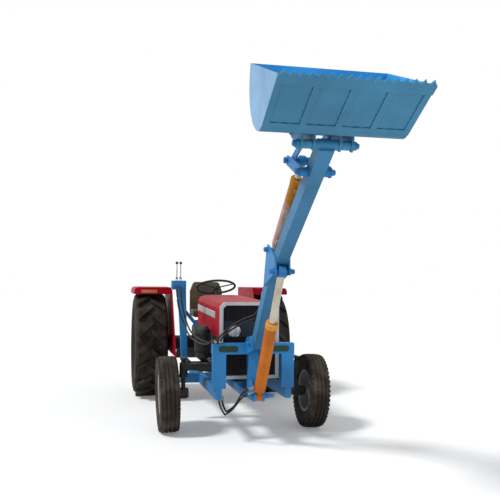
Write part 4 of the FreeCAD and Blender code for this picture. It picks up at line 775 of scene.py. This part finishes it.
def boom_hoses():
    """From the clamp on the crossbar up to a clamp on the boom's back, and on to the tilt cylinder."""
    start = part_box("frame_hoses")[0][1]
    on_boom = BOOM_PIVOT + BOOM_WAY * BOOM_CLAMP + BOOM_UP * (BOOM_FACE + CLAMP_GAP)
    for number, (x, port_at) in enumerate(zip(FRAME_HOSES_X, TILT_PORTS)):
        lower = number * 0.02
        beside = Vector((PAIR_HALF * (2 * number - 1), 0, 0))
        begin = Vector((x, start, CROSSBAR_TOP))
        finish = on_boom + beside
        meet = finish - BOOM_WAY * 0.27 + BOOM_UP * 0.02 + Vector((-0.03, 0, -lower))
        route = [begin, begin + Vector((0, -0.07, 0.01)),
                 Vector((-0.33 + lower, AXLE - 0.62, 1.04 - lower / 2)),
                 Vector((-0.23 + lower, AXLE - 0.65, 1.135 - lower)),
                 meet + Vector((-0.08, 0.02, -0.015)), meet, finish - BOOM_WAY * 0.1, finish]
        hose(f"boom_hose_{number}", route)
        union(f"crossbar_union_{number}", begin, (0, -1, 0), "tractor")
        union(f"boom_union_{number}", finish, tuple(-BOOM_WAY), "boom")
        tilt_hose(number, finish + BOOM_WAY * 0.03, beside, port_at)
    clamp = bmesh.new()
    turn = turning(BOOM_WAY) @ Matrix.Rotation(math.radians(90), 4, "X")
    block(clamp, (0.092, 0.04, 0.034), on_boom + BOOM_WAY * 0.015, turn, 0.004)
    piece("boom_clamp", mesh_of("boom_clamp", clamp), "boom", "loader_blue")


def lift_hoses():
    """Two hoses hang from the frame's rail to a bend below it, and rise to the lift cylinder's foot."""
    for number, gap in enumerate((0.0, 0.032)):
        begin = RAIL_OUTLET + Vector((gap, 0, 0))
        low = LIFT_BEND + Vector((gap * 0.6, 0, gap))
        port = LIFT_BASE + LIFT_PORT + LIFT_WAY * (0.045 + 2 * gap)
        route = [begin, begin + Vector((0, -0.02, -0.06)), begin + Vector((0.02, -0.08, -0.12)),
                 low, low, low + Vector((0.07, -0.03, 0.05)),
                 port + Vector((-0.11, 0.01, -0.05)), port + Vector((-0.05, 0, -0.01)), port]
        hose(f"lift_hose_{number}", route)
        union(f"rail_union_{number}", begin, (0, -0.3, -1), "tractor")
        union(f"lift_union_{number}", port, (-1, 0, -0.2), "lift_barrel")


# Seat: crowned vinyl cushion and backrest
CUSHION_THICK = 0.10
BACK_THICK = 0.078


def crown_cushion(vert, away, share):
    """Raises the middle of the top and draws the sides in towards the cushion's ends."""
    if away.z > 0:
        vert.co.z += 0.012 * (1 - share[0] ** 2) * (1 - share[1] ** 2)
    if share[0] > 0.9:
        vert.co.x -= math.copysign(0.008 * (1 - share[2] ** 2) * share[1] ** 2, away.x)


def round_back(vert, away, share):
    """Narrows the backrest to its top and a little to its foot, and fills out its front."""
    corner = (share[2] - 0.55) / 0.45 if away.z > 0 else (share[2] - 0.8) / 0.4
    vert.co.x *= 1 - 0.28 * max(0.0, corner) ** 2
    if away.y < 0:
        vert.co.y -= 0.004 * (1 - share[0] ** 2) * (1 - share[2] ** 2)


def soft_part(name, size, centre, shaped):
    """A padded part: shaped moves each corner by its place and by its share of every half size."""
    shape = bmesh.new()
    block(shape, [s - 0.004 for s in size], Vector(centre), bevel=0.02)
    bmesh.ops.subdivide_edges(shape, edges=shape.edges[:], cuts=3, use_grid_fill=True)
    for vert in shape.verts:
        away = vert.co - Vector(centre)
        shaped(vert, away, [min(1.0, abs(a) / (s / 2)) for a, s in zip(away, size)])
    obj = piece(name, mesh_of(name, shape, 60), "tractor", "seat_olive")
    return obj


def seat():
    low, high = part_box("seat")
    base_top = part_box("seat_base")[1][2]
    wide = high[0] - low[0]
    deep = high[1] - low[1] - 0.08
    obj = soft_part("seat_cushion", (wide, deep, CUSHION_THICK),
                    (0, low[1] + deep / 2, base_top + CUSHION_THICK / 2 + SKIN), crown_cushion)
    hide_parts("seat")
    soft_part("seat_back", (wide, BACK_THICK, high[2] - base_top),
              (0, high[1] - BACK_THICK / 2, (base_top + high[2]) / 2 + SKIN), round_back)


wheel_nuts()
shoulder_bars()
bucket_welds()
headlamps()
grille_backing()
lever_knobs()
pin_bolts()
oval_plates()
boom_hoses()
lift_hoses()
seat()


# Floor, light and camera
WHITE = (1, 1, 1, 1)
SKY_BLUISH, SKY_STRENGTH = (0.92, 0.95, 1.0, 1), 0.42
FLOOR_PALE, FLOOR_LIFT = (0.9, 0.9, 0.89, 1), 0.16
FLOOR_SIZE = 60
CAMERA_PLACE = (-1.488, -7.259 + AXLE, 1.592)
CAMERA_YAW, CAMERA_PITCH, CAMERA_ROLL = (math.radians(a) for a in (-12.253, 2.352, 0.491))
LENS_MM, SENSOR_MM = 50, 36


def studio_floor():
    """A wide pale floor that takes the shadow; the camera sees it lifted a little towards white."""
    shape = bmesh.new()
    bmesh.ops.create_grid(shape, x_segments=1, y_segments=1, size=FLOOR_SIZE)
    floor = bpy.data.objects.new("floor", mesh_of("floor", shape))
    bpy.context.collection.objects.link(floor)
    pale = bpy.data.materials.new("floor_pale")
    pale.use_nodes = True
    tree = pale.node_tree
    shader = tree.nodes["Principled BSDF"]
    for key, value in (("Base Color", FLOOR_PALE), ("Roughness", 0.9), ("Specular IOR Level", 0.1),
                       ("Emission Color", WHITE)):
        shader.inputs[key].default_value = value
    ray = tree.nodes.new("ShaderNodeLightPath")
    lift = maths(tree, "MULTIPLY", ray.outputs["Is Camera Ray"], FLOOR_LIFT)
    tree.links.new(lift, shader.inputs["Emission Strength"])
    floor.data.materials.append(pale)


def surroundings():
    """Soft bluish light from all round; the camera, reflections and glass see plain white."""
    world = bpy.data.worlds.new("studio")
    bpy.context.scene.world = world
    world.use_nodes = True
    tree = world.node_tree
    light = tree.nodes["Background"]
    white = tree.nodes.new("ShaderNodeBackground")
    for node, colour, strength in ((light, SKY_BLUISH, SKY_STRENGTH), (white, WHITE, 1.0)):
        node.inputs["Color"].default_value = colour
        node.inputs["Strength"].default_value = strength
    ray = tree.nodes.new("ShaderNodeLightPath").outputs
    mirrored = maths(tree, "MAXIMUM", ray["Is Glossy Ray"], ray["Is Transmission Ray"])
    mix = tree.nodes.new("ShaderNodeMixShader")
    tree.links.new(maths(tree, "MAXIMUM", ray["Is Camera Ray"], mirrored), mix.inputs[0])
    tree.links.new(light.outputs[0], mix.inputs[1])
    tree.links.new(white.outputs[0], mix.inputs[2])
    tree.links.new(mix.outputs[0], tree.nodes["World Output"].inputs["Surface"])


def lamp(name, kind, energy, place, aim, **settings):
    """A lamp at a place, turned to its aim."""
    light = bpy.data.lights.new(name, kind)
    light.energy = energy
    for key, value in settings.items():
        setattr(light, key, value)
    obj = bpy.data.objects.new(name, light)
    obj.location = place
    obj.rotation_euler = (Vector(aim) - Vector(place)).to_track_quat("-Z", "Y").to_euler()
    bpy.context.collection.objects.link(obj)


def camera():
    """The camera of the photograph: a 50 mm lens, low before the tractor's right front."""
    data = bpy.data.cameras.new("photo_camera")
    data.lens = LENS_MM
    data.sensor_width = SENSOR_MM
    obj = bpy.data.objects.new("photo_camera", data)
    level = math.cos(CAMERA_PITCH)
    forward = Vector((-math.sin(CAMERA_YAW) * level, math.cos(CAMERA_YAW) * level, math.sin(CAMERA_PITCH)))
    right = Vector((math.cos(CAMERA_YAW), math.sin(CAMERA_YAW), 0))
    up = right.cross(forward)
    turn = Matrix((right, up, -forward)).transposed().to_4x4() @ Matrix.Rotation(CAMERA_ROLL, 4, "Z")
    obj.matrix_world = Matrix.Translation(CAMERA_PLACE) @ turn
    bpy.context.collection.objects.link(obj)
    bpy.context.scene.camera = obj


studio_floor()
surroundings()
lamp("sun_soft", "SUN", 2.3, (-6.5, -2.2, 8.0), (0, 0, 0), angle=0.2)
lamp("fill_front", "AREA", 150, (4.0, -10.0, 5.0), (0, -1.0, 1.2), size=6.0)
camera()
bpy.context.scene.view_settings.view_transform = "Standard"
